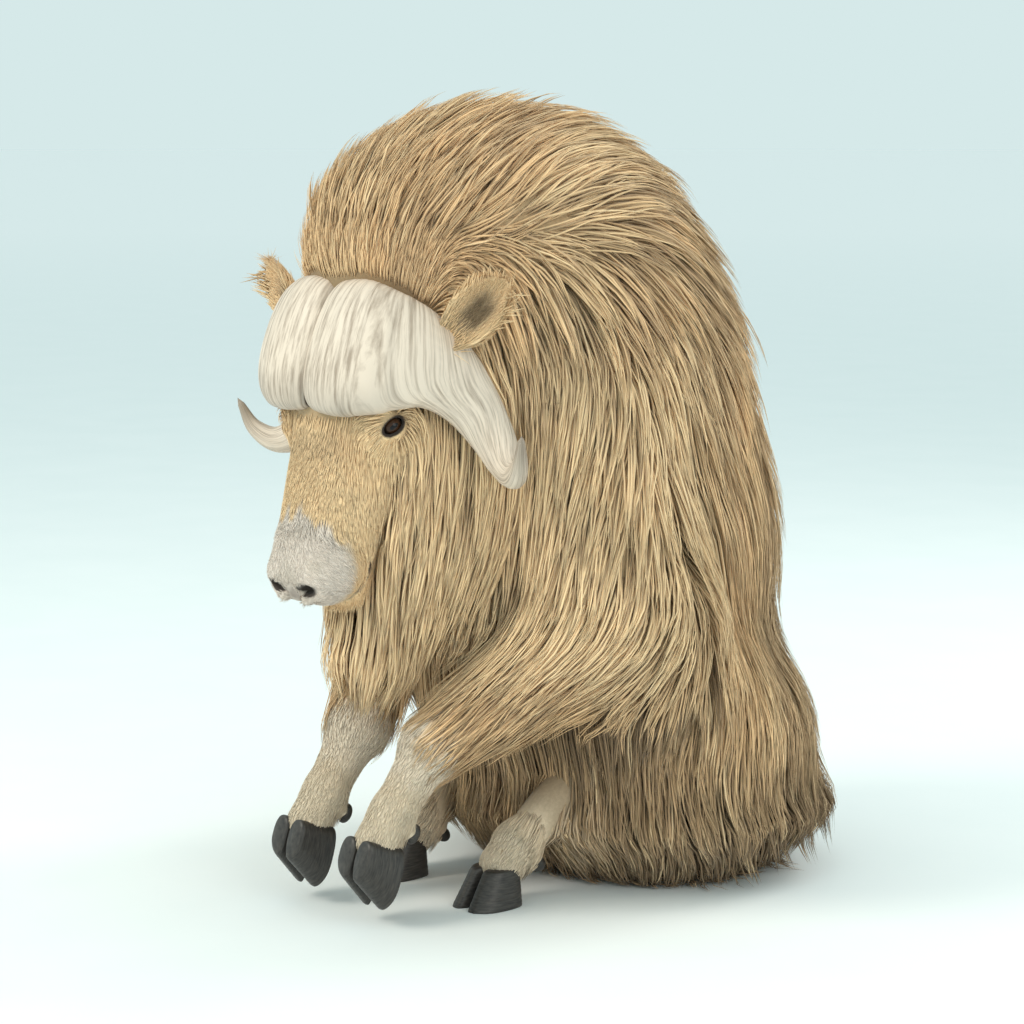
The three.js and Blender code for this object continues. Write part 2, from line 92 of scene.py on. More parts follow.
def material(name, rough=0.6, specular=0.3, coat=0.0):
    m = bpy.data.materials.new(name)
    m.use_nodes = True
    nt = m.node_tree
    p = nt.nodes["Principled BSDF"]
    p.inputs["Roughness"].default_value = rough
    p.inputs["Specular IOR Level"].default_value = specular
    p.inputs["Coat Weight"].default_value = coat
    return m, nt, p


def mesh_object(name, verts, faces, smooth=True, attributes=None, mat=None):
    """faces: an (n, 3) or (n, 4) array of corners, or a list of such arrays."""
    groups = faces if isinstance(faces, list) else [faces]
    me = bpy.data.meshes.new(name)
    me.vertices.add(len(verts))
    me.vertices.foreach_set("co", np.ascontiguousarray(verts, np.float32).ravel())
    total = sum(f.size for f in groups)
    me.loops.add(total)
    me.loops.foreach_set("vertex_index", np.concatenate([f.ravel() for f in groups]).astype(np.int32))
    sizes = np.concatenate([np.full(len(f), f.shape[1], np.int32) for f in groups])
    me.polygons.add(len(sizes))
    me.polygons.foreach_set("loop_start", np.concatenate([[0], np.cumsum(sizes)[:-1]]).astype(np.int32))
    me.polygons.foreach_set("use_smooth", np.full(len(sizes), smooth, bool))
    for key, (kind, data) in (attributes or {}).items():
        at = me.attributes.new(key, kind, "POINT")
        at.data.foreach_set({"FLOAT_COLOR": "color", "FLOAT_VECTOR": "vector", "FLOAT": "value"}[kind], np.ascontiguousarray(data, np.float32).ravel())
    me.update(calc_edges=True)
    me.validate()
    if mat:
        me.materials.append(mat)
    o = bpy.data.objects.new(name, me)
    bpy.context.scene.collection.objects.link(o)
    return o


def bake_map(me, uv):
    """uv: one pair for each vertex."""
    layer = me.uv_layers.new(name="OFBake")
    idx = np.empty(len(me.loops), np.int32)
    me.loops.foreach_get("vertex_index", idx)
    layer.data.foreach_set("uv", np.ascontiguousarray(uv[idx], np.float32).ravel())


def unit(v):
    return v / np.maximum(np.linalg.norm(v, axis=-1, keepdims=True), 1e-9)


def ramp(x, lo, hi):
    """0 at lo, 1 at hi, smooth between; hi may be under lo."""
    t = np.clip((x - lo) / (hi - lo), 0, 1)
    return t * t * (3 - 2 * t)


def noise(p, seed=0):
    """Smooth value noise, -1..1, on points in cells of size 1."""
    i = np.floor(p).astype(np.int64)
    f = p - i
    f = f * f * (3 - 2 * f)
    out = 0
    for dx in (0, 1):
        for dy in (0, 1):
            for dz in (0, 1):
                h = ((i[..., 0] + dx) * 73856093) ^ ((i[..., 1] + dy) * 19349663) ^ ((i[..., 2] + dz) * 83492791) ^ (seed * 2654435 + 97)
                h = (h ^ (h >> 13)) * 1274126177 & 0x7FFFFFFF
                h = (h ^ (h >> 16)) & 0xFFFFFF
                w = (f[..., 0] if dx else 1 - f[..., 0]) * (f[..., 1] if dy else 1 - f[..., 1]) * (f[..., 2] if dz else 1 - f[..., 2])
                out = out + w * (h / 0x7FFFFF - 1)
    return out


# ================================================================ the body, as distance functions
POLL = np.array([0, -0.500, 1.100])  # top of the head
SLOPE = math.radians(70)  # the face hangs this far below level
HS = 1.07 * 0.001  # metres for a millimetre of a 500 mm face
X = np.array([1.0, 0, 0])
U = np.array([0, -math.cos(SLOPE), -math.sin(SLOPE)])  # poll to nose
V = np.array([0, -math.sin(SLOPE), math.cos(SLOPE)])  # out of the forehead
HAX = np.array([X, U, V])


def H(x, u, v):
    return POLL + HS * (x * X + u * U + v * V)


def to_head(p):
    return (p - POLL) @ HAX.T / HS


def smin(a, b, k):
    h = np.maximum(k - np.abs(a - b), 0) / k
    return np.minimum(a, b) - h * h * k * 0.25


def smax(a, b, k):
    return -smin(-a, -b, k)


def egg(p, c, r):
    q = p - np.asarray(c, float)
    r = np.asarray(r, float)
    k0 = np.linalg.norm(q / r, axis=-1)
    k1 = np.linalg.norm(q / (r * r), axis=-1)
    return k0 * (k0 - 1) / np.maximum(k1, 1e-9)


def limb(p, a, b, ra, rb, flat=None, by=1.0):
    a, b = np.asarray(a, float), np.asarray(b, float)
    d = b - a
    q = p - a
    t = np.clip(q @ d / (d @ d), 0, 1)
    w = q - t[..., None] * d
    if flat is not None:
        w = w + ((1 / by - 1) * (w @ np.asarray(flat, float)))[..., None] * np.asarray(flat, float)
    return np.linalg.norm(w, axis=-1) - (ra + (rb - ra) * t)


def folded(p):
    q = np.array(p, float)
    q[..., 0] = np.abs(q[..., 0])
    return q


WRIST, FETLOCK_F, HOOFTOP_F = (0.108, -0.398, 0.298), (0.100, -0.478, 0.192), (0.100, -0.512, 0.142)
HOCK, FETLOCK_H, HOOFTOP_H = (0.150, -0.065, 0.222), (0.138, -0.222, 0.102), (0.136, -0.256, 0.068)


# The outline out to the tips of the coat, group by group.
def o_trunk(p):
    d = egg(p, (0, 0.165, 0.215), (0.415, 0.340, 0.340))
    d = smin(d, egg(p, (0, 0.035, 0.620), (0.405, 0.398, 0.500)), 0.10)
    d = smin(d, egg(p, (0, -0.048, 0.950), (0.402, 0.390, 0.360)), 0.10)
    d = smin(d, egg(p, (0, -0.155, 1.155), (0.338, 0.396, 0.300)), 0.10)
    d = smin(d, egg(p, (0, 0.170, 0.125), (0.440, 0.372, 0.092)), 0.09)
    return smin(d, limb(p, (0, -0.200, 1.090), (0, -0.325, 1.040), 0.275, 0.236), 0.08)


def o_mane(p):
    d = limb(p, (0, -0.265, 0.930), (0, -0.310, 0.700), 0.275, 0.238)
    return smin(d, limb(p, (0, -0.385, 0.655), (0, -0.440, 0.475), 0.168, 0.100), 0.07)


def o_head(p):
    q = folded(to_head(p))
    d = egg(q, (0, 105, -105), (138, 150, 118))
    d = smin(d, limb(q, (0, 130, -104), (0, 400, -92), 114, 76, (1, 0, 0), 1.2), 50)
    d = smin(d, egg(q, (0, 430, -94), (100, 76, 68)), 30)
    d = smin(d, limb(q, (0, 140, -205), (0, 430, -152), 78, 50, (1, 0, 0), 1.25), 40)
    d = smin(d, egg(q, (88, 180, -168), (66, 125, 92)), 40)
    d = smin(d, egg(q, (112, 192, -66), (38, 50, 42)), 30)
    return d * HS


def o_fore(p):
    q = folded(p)
    d = limb(q, (0.205, -0.140, 0.905), (0.288, -0.118, 0.545), 0.200, 0.186)
    return smin(d, limb(q, (0.286, -0.130, 0.510), (0.112, -0.390, 0.303), 0.162, 0.076), 0.09)


def o_thigh(p):
    q = folded(p)
    d = limb(q, (0.232, 0.150, 0.278), (0.280, -0.060, 0.452), 0.212, 0.168)
    return smin(d, limb(q, (0.262, -0.055, 0.400), (0.160, -0.058, 0.255), 0.140, 0.088), 0.08)


def o_foreshin(p):
    q = folded(p)
    d = limb(q, WRIST, FETLOCK_F, 0.054, 0.041)
    return smin(smin(d, limb(q, FETLOCK_F, HOOFTOP_F, 0.044, 0.047), 0.02), egg(q, WRIST, (0.057, 0.057, 0.052)), 0.02)


def o_hindshin(p):
    q = folded(p)
    return smin(limb(q, HOCK, FETLOCK_H, 0.062, 0.041), limb(q, FETLOCK_H, HOOFTOP_H, 0.046, 0.047), 0.02)


def o_tail(p):
    return smin(limb(p, (0, 0.455, 0.200), (0, 0.515, 0.145), 0.052, 0.050), limb(p, (0, 0.515, 0.145), (0, 0.560, 0.072), 0.050, 0.032), 0.03)


GROUPS = {"trunk": o_trunk, "mane": o_mane, "head": o_head, "fore": o_fore, "thigh": o_thigh, "foreshin": o_foreshin, "hindshin": o_hindshin, "tail": o_tail}


def outline(p, parts=None):
    g = parts or {k: f(p) for k, f in GROUPS.items()}
    d = smin(g["trunk"], g["mane"], 0.03)
    d = smin(d, g["fore"], 0.03)
    d = smin(d, g["thigh"], 0.05)
    d = smin(d, g["head"], 0.02)
    d = smin(d, np.minimum(g["foreshin"], g["hindshin"]), 0.02)
    return smin(d, g["tail"], 0.03)


EAR_A, EAR_B = np.array([0.188, -0.442, 1.014]), np.array([0.350, -0.414, 1.138])
EAR_D = (EAR_B - EAR_A) / np.linalg.norm(EAR_B - EAR_A)
EAR_L = float(np.linalg.norm(EAR_B - EAR_A))
EAR_F = np.array([0.25, -1, -0.15])
EAR_F = EAR_F - EAR_F @ EAR_D * EAR_D
EAR_F /= np.linalg.norm(EAR_F)
EAR_W = np.cross(EAR_D, EAR_F)


def ear_frame(p):
    """Along, across and in front of the leaf, its half width there, and how far the point is in front of the leaf's middle."""
    q = folded(p) - EAR_A
    s = q @ EAR_D / EAR_L
    w, f = q @ EAR_W, q @ EAR_F
    half = 0.044 * np.sin(pi * np.clip(0.22 + 0.50 * s, 0.02, 0.98)) ** 0.7 * np.sqrt(np.clip(1 - (np.maximum(s - 0.52, 0) / 0.46) ** 2, 0.0025, 1)) * (0.46 + 0.54 * ramp(s, -0.02, 0.46))
    c = np.clip(w / half, -1.3, 1.3)
    mid = 0.008 * c * c - 0.015 * (1 - c * c) * np.sin(pi * np.clip(s * 1.05, 0, 1)) ** 0.7
    return s, w, f, half, f - mid


def ear(p):
    s, w, f, half, deep = ear_frame(p)
    thick = 0.0036 + 0.004 * (1 - np.clip(s, 0, 1)) + 0.002 * np.clip(np.abs(w) / half, 0, 1) ** 4
    d = smax(np.abs(deep) * 0.9 - thick, np.abs(w) - half, 0.005)
    return smax(d, np.maximum((s - 0.975) * EAR_L, -(s + 0.15) * EAR_L), 0.006)


# Horn rows, in millimetres of a 500 mm face: x, u, v of the middle, half breadth, half thickness.
HORN = np.array([
    (5, 88, 0, 106, 38), (30, 88, 8, 112, 44), (75, 88, 8, 114, 47), (118, 86, -8, 106, 46), (156, 84, -40, 90, 42), (184, 92, -88, 68, 38),
    (208, 120, -138, 50, 33), (238, 163, -177, 38, 29), (279, 204, -190, 30, 25), (323, 224, -178, 23, 20), (359, 212, -152, 15, 14), (379, 180, -126, 7, 7)], float)


def horn(p):
    q = folded(to_head(p))
    d = None
    for r0, r1 in zip(HORN[:-1], HORN[1:]):
        t = unit(r1[:3] - r0[:3])
        broad = unit(np.array([0, 1.0, 0]) - t[1] * t)
        f = (r0[4] + r1[4]) / (r0[3] + r1[3])
        n = limb(q, r0[:3], r1[:3], r0[3], r1[3], np.cross(t, broad), f) * f
        d = n if d is None else np.minimum(d, n)
    return d * HS


MOUTH = [(0, 484, -137), (25, 479, -140), (49, 466, -143), (68, 437, -147), (75, 404, -149), (95, 369, -160), (103, 351, -177)]
EYE = H(131, 192, -64)
EYE_R = 0.021
GAZE = unit(0.90 * X + 0.12 * U + 0.40 * V)
LID_A = unit(U * 0.82 + V * 0.57 - GAZE * float((U * 0.82 + V * 0.57) @ GAZE))  # along the opening of the lids, towards the nose
LID_B = np.cross(GAZE, LID_A)


def s_head(p):
    """The head's own skin, with its folds."""
    q = folded(to_head(p))
    d = egg(q, (0, 105, -108), (128, 142, 108))
    d = smin(d, limb(q, (0, 130, -106), (0, 400, -94), 104, 68, (1, 0, 0), 1.2), 50)
    d = smin(d, limb(q, (0, 150, -40), (0, 385, -54), 30, 22), 26)  # bridge of the nose
    d = smin(d, egg(q, (0, 428, -98), (90, 66, 58)), 30)  # muzzle
    d = smin(d, egg(q, (38, 456, -84), (44, 34, 44)), 18)  # wing of the nostril
    d = smin(d, limb(q, (0, 140, -205), (0, 425, -156), 70, 42, (1, 0, 0), 1.25), 36)  # jaw
    d = smin(d, egg(q, (0, 452, -168), (50, 36, 26)), 18)  # lower lip
    d = smin(d, egg(q, (82, 182, -170), (58, 116, 84)), 40)  # cheek muscle
    d = smin(d, limb(q, (96, 236, -96), (74, 372, -112), 26, 16), 30)  # ridge below the eye
    d = smin(d, egg(q, (106, 192, -68), (36, 48, 38)), 26)  # orbit
    d = smin(d, limb(q, (84, 156, -30), (132, 170, -40), 17, 13), 14)  # brow
    # nostril: a comma that opens to the side
    n = limb(q, (25, 486, -62), (46, 474, -60), 7, 10)
    n = np.minimum(n, limb(q, (46, 474, -60), (64, 450, -66), 10, 5.5))
    n = np.minimum(n, limb(q, (64, 450, -66), (70, 434, -74), 5.5, 2.5))
    d = smax(d, -n, 7)
    d = smin(d, limb(q, (30, 494, -70), (64, 478, -76), 8, 6), 10)  # rim under it
    d = smax(d, -limb(q, (0, 500, -50), (0, 505, -104), 3.0, 2.0), 7)  # cleft of the upper lip
    # mouth
    for m0, m1, r in zip(MOUTH[:-1], MOUTH[1:], (5.2, 5.0, 4.7, 4.3, 3.8, 2.8)):
        d = smax(d, -limb(q, m0, m1, r, r * 0.9), 6)
    d = smin(d, limb(q, (100, 372, -146), (108, 350, -172), 9, 6), 14)  # fold behind the corner of the mouth
    d = smin(d, limb(q, (104, 226, -50), (122, 242, -92), 6, 5), 14)  # fold in front of the eye
    d = d * HS
    # lids: a thin round shell over the eyeball with an almond opening
    g = folded(p) - EYE
    r = np.linalg.norm(g, axis=-1)
    la, lb, lg = g @ LID_A, g @ LID_B, g @ GAZE
    d = smin(d, r - (EYE_R + 0.0052), 0.010)
    almond = (np.sqrt((la / 0.0185) ** 2 + (lb / (0.0110 - 0.0016 * np.sign(lb))) ** 2) - 1) * 0.0105
    almond = np.where(lg > 0, almond, 0.02)
    d = smax(d, -almond, 0.0028)
    return smax(d, -(r - (EYE_R - 0.0004)), 0.001)


def skin(p):
    q = folded(p)
    d = o_trunk(p) + 0.060 - 0.020 * ramp(p[..., 2], 0.98, 1.22)
    m = smin(limb(p, (0, -0.262, 0.930), (0, -0.300, 0.710), 0.224, 0.180), limb(p, (0, -0.345, 0.660), (0, -0.410, 0.550), 0.110, 0.060), 0.06)
    d = smin(d, m, 0.06)
    f = limb(q, (0.205, -0.140, 0.905), (0.288, -0.118, 0.545), 0.148, 0.134)
    d = smin(d, smin(f, limb(q, (0.286, -0.130, 0.510), (0.112, -0.390, 0.303), 0.112, 0.052), 0.08), 0.05)
    t = limb(q, (0.232, 0.150, 0.278), (0.280, -0.060, 0.452), 0.160, 0.120)
    d = smin(d, smin(t, limb(q, (0.262, -0.055, 0.400), (0.160, -0.058, 0.255), 0.096, 0.066), 0.07), 0.05)
    d = smin(d, s_head(p), 0.02)
    d = smin(d, o_foreshin(p) + 0.007, 0.025)
    d = smin(d, o_hindshin(p) + 0.007, 0.025)
    for c0 in ((0.019, 0.150), (-0.019, 0.150)):
        d = smin(d, limb(q, (0.100 + c0[0] * 0.3, -0.465, 0.178), (0.100 + c0[0], -0.4545, 0.158), 0.020, 0.0125), 0.016)
        d = smin(d, limb(q, (0.138 + c0[0] * 0.3, -0.196, 0.092), (0.138 + c0[0], -0.1965, 0.071), 0.020, 0.0125), 0.016)
    d = smin(d, limb(p, (0, 0.400, 0.240), (0, 0.505, 0.155), 0.034, 0.026), 0.03)
    d = smin(d, ear(p), 0.012)
    return smax(d, 0.0045 - p[..., 2], 0.004)


def slope_of(f, p, h=0.0015):
    b = f(p)
    g = np.stack([f(p + h * np.eye(3)[i]) - b for i in range(3)], -1) / h
    return b, g


# ================================================================ one skin
def spaced(*stops):
    """(start, step), (next start, step), ..., end"""
    out = []
    for (s, h), nxt in zip(stops[:-1], stops[1:]):
        en = nxt[0] if isinstance(nxt, tuple) else nxt
        n = max(1, int(round((en - s) / h)))
        out.append(s + (en - s) * np.arange(n) / n)
    return np.concatenate(out + [[stops[-1]]])


def net(f, axes, block=4):
    """A closed surface where f is 0, on a grid that is finer where the animal has detail."""
    n = [len(x) for x in axes]
    edges = [np.unique(np.r_[0:m:block, m - 1]) for m in n]
    mids = [(x[i[:-1]] + x[i[1:]]) / 2 for x, i in zip(axes, edges)]
    half = [(x[i[1:]] - x[i[:-1]]) / 2 for x, i in zip(axes, edges)]
    M = np.stack(np.meshgrid(*mids, indexing="ij"), -1)
    R = np.sqrt(half[0][:, None, None] ** 2 + half[1][None, :, None] ** 2 + half[2][None, None, :] ** 2)
    centre = f(M)
    near = np.abs(centre) < R * 1.25 + 0.008
    counts = [np.diff(i) for i in edges]

    def spread(z):
        for k in range(3):
            z = np.repeat(z, counts[k], axis=k)
            z = np.concatenate([z, z.take([-1], axis=k)], axis=k)
        return z

    g = spread(np.where(centre < 0, -1.0, 1.0)).astype(np.float32)
    want = spread(near)
    for k in range(3):  # points on a block's edge belong to both blocks
        want |= np.roll(want, 1, axis=k) & True
    idx = np.argwhere(want)
    for i0 in range(0, len(idx), 400000):
        c = idx[i0 : i0 + 400000]
        g[c[:, 0], c[:, 1], c[:, 2]] = f(np.stack([axes[k][c[:, k]] for k in range(3)], -1))
    s = g < 0
    corners = [(dx, dy, dz) for dx in (0, 1) for dy in (0, 1) for dz in (0, 1)]
    cnt = sum(s[dx : n[0] - 1 + dx, dy : n[1] - 1 + dy, dz : n[2] - 1 + dz].astype(np.int8) for dx, dy, dz in corners)
    act = (cnt > 0) & (cnt < 8)
    cells = np.argwhere(act)
    number = np.full(act.shape, -1, np.int64)
    number[act] = np.arange(len(cells))
    acc, num = np.zeros((len(cells), 3)), np.zeros(len(cells))
    i, j, k = cells.T
    for A in range(8):
        for B in range(A + 1, 8):
            ca, cb = np.array(corners[A]), np.array(corners[B])
            if np.abs(ca - cb).sum() != 1:
                continue
            ga = g[i + ca[0], j + ca[1], k + ca[2]].astype(float)
            gb = g[i + cb[0], j + cb[1], k + cb[2]].astype(float)
            m = (ga < 0) != (gb < 0)
            t = np.where(m, ga / np.where(m, ga - gb, 1), 0)
            acc += np.where(m[:, None], ca + t[:, None] * (cb - ca), 0)
            num += m
    at = cells + acc / num[:, None]
    v = np.stack([np.interp(at[:, q], np.arange(n[q]), axes[q]) for q in range(3)], -1)
    quads = []
    for ax in range(3):
        o = [q for q in range(3) if q != ax]
        s0, s1 = [slice(None)] * 3, [slice(None)] * 3
        s0[ax], s1[ax] = slice(0, n[ax] - 1), slice(1, n[ax])
        for q in o:
            s0[q] = s1[q] = slice(1, n[q] - 1)
        A, B = s[tuple(s0)], s[tuple(s1)]
        for flip in (0, 1):
            c = np.argwhere((A & ~B) if not flip else (~A & B))
            if not len(c):
                continue
            off = np.ones(3, int)
            off[ax] = 0
            c = c + off
            d1, d2 = np.zeros(3, int), np.zeros(3, int)
            d1[o[0]], d2[o[1]] = 1, 1
            pick = lambda w: number[tuple((c - w).T)]
            q = np.stack([pick(d1 + d2), pick(d2), pick(0 * d1), pick(d1)], 1)
            quads.append(q[:, ::-1] if bool(flip) != (ax == 1) else q)
    return v, np.concatenate(quads)


half_x = spaced((0.0, 0.0036), (0.105, 0.0019), (0.172, 0.0040), (0.335, 0.013), 0.475)
AX = [
    np.concatenate([-half_x[:0:-1], half_x]),
    spaced((-0.668, 0.0036), (-0.548, 0.0019), (-0.468, 0.0038), (-0.385, 0.0075), (-0.04, 0.015), 0.575),
    spaced((-0.003, 0.0056), (0.345, 0.0100), (0.520, 0.0036), (0.845, 0.0019), (0.925, 0.0038), (1.165, 0.014), 1.475)]
SKV, SKQ = net(skin, AX)
for _ in range(2):
    b, g = slope_of(skin, SKV, 0.001)
    m = np.maximum((g * g).sum(-1), 0.2)
    step = np.clip(b / m, -0.002, 0.002)
    SKV = SKV - step[:, None] * g
SKN = unit(slope_of(skin, SKV, 0.002)[1])
print("skin", len(SKV), len(SKQ))


# ================================================================ markings, painted shade and painted light: one function for skin and coat
COAT, SHADE, STREAK = [np.array(srgb(*c)) for c in ((236, 195, 147), (178, 147, 114), (244, 213, 169))]
CREAM, PALE, MUZZLE = [np.array(srgb(*c)) for c in ((231, 212, 186), (242, 229, 212), (237, 222, 209))]
DARK, INNER_EAR, NAKED = [np.array(srgb(*c)) for c in ((50, 42, 37), (98, 80, 60), (126, 108, 98))]


def shares(p, g=None):
    """How much each group of the body owns a point."""
    g = g or {k: f(p) for k, f in GROUPS.items()}
    D = np.stack(list(g.values()), -1)
    W = np.exp(-(D - D.min(-1, keepdims=True)) / 0.015)
    W /= W.sum(-1, keepdims=True)
    return dict(zip(g.keys(), np.moveaxis(W, -1, 0))), g


def beside(W, group, own):
    """How far outside a group's outline a point of another group lies."""
    return 0.015 * (np.log(own + 1e-200) - np.log(W[group] + 1e-200))


def within(c):
    """Brings a colour under white and keeps its hue."""
    return np.maximum(c, 0) / np.maximum(1, c.max(-1, keepdims=True) / 0.95)


def mix(a, b, t):
    return a + (np.asarray(b) - a) * np.clip(t, 0, 1)[..., None]


def along(p, a, b):
    a, b = np.asarray(a, float), np.asarray(b, float)
    return (folded(p) - a) @ (b - a) / float((b - a) @ (b - a))


def eye_frame(p):
    g = folded(p) - EYE
    return g @ LID_A, g @ LID_B, g @ GAZE, np.linalg.norm(g, axis=-1)


def is_ear(p):
    s, w, f, half, deep = ear_frame(p)
    return (s > 0.10) & (s < 1.08) & (np.abs(w) < half + 0.014) & (np.abs(f) < 0.034) & (np.abs(p[..., 0]) > 0.150)


def markings_and_painted_light(p, n, W):
    """Colour of the coat where its root is, in linear light, with its markings, painted shade and painted light."""
    q = to_head(p)
    ax, u, v = np.abs(q[..., 0]), q[..., 1], q[..., 2]
    broad = noise(p * 5.5, 3) * 0.6 + noise(p * 13, 4) * 0.4
    c = np.broadcast_to(COAT, p.shape).copy()
    c = mix(c, SHADE, 0.05 + 0.24 * broad)
    turn = np.arctan2(p[..., 0], 0.05 - p[..., 1])
    swath = noise(np.stack([turn * 5.5 + 0.8 * noise(p * 3, 12), p[..., 2] * 1.4, 0 * turn], -1), 11)
    long_ = W["trunk"] + 0.6 * W["fore"] + 0.6 * W["mane"] + 0.7 * W["thigh"]
    c = mix(c, SHADE, long_ * 0.66 * ramp(swath, 0.04, 0.52))
    c = mix(c, STREAK, long_ * 0.40 * ramp(-swath, 0.10, 0.55))
    shin = W["foreshin"] + W["hindshin"]
    # painted shade towards the rear of the flanks, low on the skirt under the body, and in the hollow behind each ear;
    # also a little darker on top of the hump
    trunk = W["trunk"] + W["thigh"] + W["tail"]
    c = mix(c, SHADE * 0.94, trunk * np.clip(0.74 * ramp(p[..., 1], 0.08, 0.36) * ramp(p[..., 2], 1.20, 0.80) + 0.90 * ramp(p[..., 2], 0.40, 0.10), 0, 1))
    c = c * (1 - 0.34 * trunk * ramp(p[..., 2], 0.46, 0.20) - 0.16 * trunk * ramp(p[..., 1], 0.12, 0.34) * ramp(p[..., 2], 1.20, 0.85) - 0.05 * trunk * ramp(p[..., 2], 1.10, 1.25))[..., None]
    shade_behind_ear = np.exp(-(((np.abs(p[..., 0]) - 0.32) / 0.10) ** 2 + ((p[..., 1] + 0.31) / 0.07) ** 2 + ((p[..., 2] - 1.07) / 0.055) ** 2))
    c = mix(c, SHADE * 0.62, (1 - W["head"]) * 0.9 * shade_behind_ear)
    # deep shade where the trunk passes under the shoulder and the forearm, and where those pass under the mane
    y, z = p[..., 1], p[..., 2]
    gap = beside(W, "fore", np.maximum(W["trunk"], W["thigh"]))
    c = mix(c, STREAK * 1.13, 0.70 * ramp(y, 0.10, -0.12) * ramp(z, 1.16, 1.02) * ramp(z, 0.42, 0.58))
    c = mix(c, SHADE * 0.46, 0.92 * np.exp(-((gap / 0.048) ** 2)) * (gap > 0) * np.maximum(ramp(y, -0.10, -0.02) * ramp(z, 1.0, 0.86), ramp(z, 0.60, 0.50)))
    gap = beside(W, "mane", W["fore"])
    c = mix(c, SHADE * 0.55, 0.80 * np.exp(-((gap / 0.040) ** 2)) * (gap > 0) * ramp(z, 0.82, 0.70))
    # wrists and lower legs
    r = noise(p * 60, 8) * 0.06
    wrist = ramp(along(p, (0.286, -0.130, 0.510), WRIST) + r, 0.80, 0.93)
    c = c * (1 - 0.13 * W["fore"] * ramp(z, 0.62, 0.48))[..., None]
    c = mix(c, PALE, W["fore"] * wrist)
    c = mix(c, CREAM, shin)
    c = mix(c, PALE, W["foreshin"] * ramp(along(p, WRIST, FETLOCK_F) + r, 0.75, 0.25) * 0.9)
    # painted shade: the fore shins are darker where they face down
    c = mix(c, SHADE, W["foreshin"] * 0.25 * ramp(n[..., 2], -0.1, -0.8))
    c = mix(c, CREAM, W["thigh"] * ramp(p[..., 2], 0.31, 0.26) * ramp(p[..., 1], 0.02, -0.04) * ramp(np.abs(p[..., 0]), 0.25, 0.20) * 0.7)
    # muzzle
    head = W["head"]
    edge = u + 26 * noise(q / 15, 5) + 0.30 * np.abs(v + 100) - 0.00075 * ax * ax
    m = ramp(edge, 368, 392) * ramp(head, 0.80, 0.97) * (1 - ramp(v, -150, -168) * ramp(u, 466, 440))
    c = mix(c, MUZZLE, m)
    # painted shade: the muzzle greys towards its lower side; the grey blotches from noise are its own colour
    c = mix(c, np.array(srgb(196, 184, 166)), m * (0.5 * ramp(v, -118, -160) + 0.35 * np.clip(noise(q / 22, 6), 0, 1)))
    # painted light: the cheeks and the top of the mane, which lie in shade under the horns and face down, are painted
    # paler
    c = c * (1 + 0.36 * np.maximum(head * ramp(v, -80, -130) * ramp(u, 350, 260) * (1 - m), W["mane"] * ramp(z, 0.48, 0.64)))[..., None]
    # a darker saddle across the bridge under the eyes
    c = mix(c, SHADE, head * (1 - m) * 0.42 * np.exp(-(((u - 236) / 34) ** 2)) * ramp(ax, 105, 40))
    s, w, f, half, deep = ear_frame(p)
    return mix(c, STREAK, is_ear(p) * 0.5 * (deep > 0))


def mouth_gap(q):
    """Distance from the line of the mouth, in head millimetres."""
    return np.minimum.reduce([limb(q, a0, a1, 0, 0) for a0, a1 in zip(MOUTH[:-1], MOUTH[1:])])


def bare(p):
    """Naked skin: its colour, and how much of it there is."""
    q = folded(to_head(p))
    la, lb, lg, r = eye_frame(p)
    lid = ramp(np.sqrt((la / 0.0235) ** 2 + (lb / 0.0150) ** 2), 1.12, 0.96) * (lg > 0) * (r < EYE_R + 0.013)
    nostril = ramp(np.minimum(np.linalg.norm((q - (40, 476, -58)) / (24, 16, 15), axis=-1), np.linalg.norm((q - (60, 458, -68)) / (15, 20, 11), axis=-1)), 1.12, 0.86)
    pad = ramp(np.linalg.norm((q - (0, 490, -84)) / (20, 26, 34), axis=-1), 1.15, 0.75)
    lip = ramp(mouth_gap(q), 9.5, 5.0)
    s, w, f, half, deep = ear_frame(p)
    cup = is_ear(p) * (deep > 0) * ramp(np.abs(w) / half, 0.64, 0.24) * ramp(s, 0.20, 0.42) * ramp(s, 0.82, 0.56)
    c = np.broadcast_to(NAKED, p.shape).copy()
    c = mix(c, DARK * 1.5, np.maximum(nostril, lip * 0.8))
    c = mix(c, DARK, lid)
    c = mix(c, INNER_EAR * 0.8, cup)
    return c, np.maximum.reduce([lid, nostril, pad * 0.7, lip, cup * 0.8])


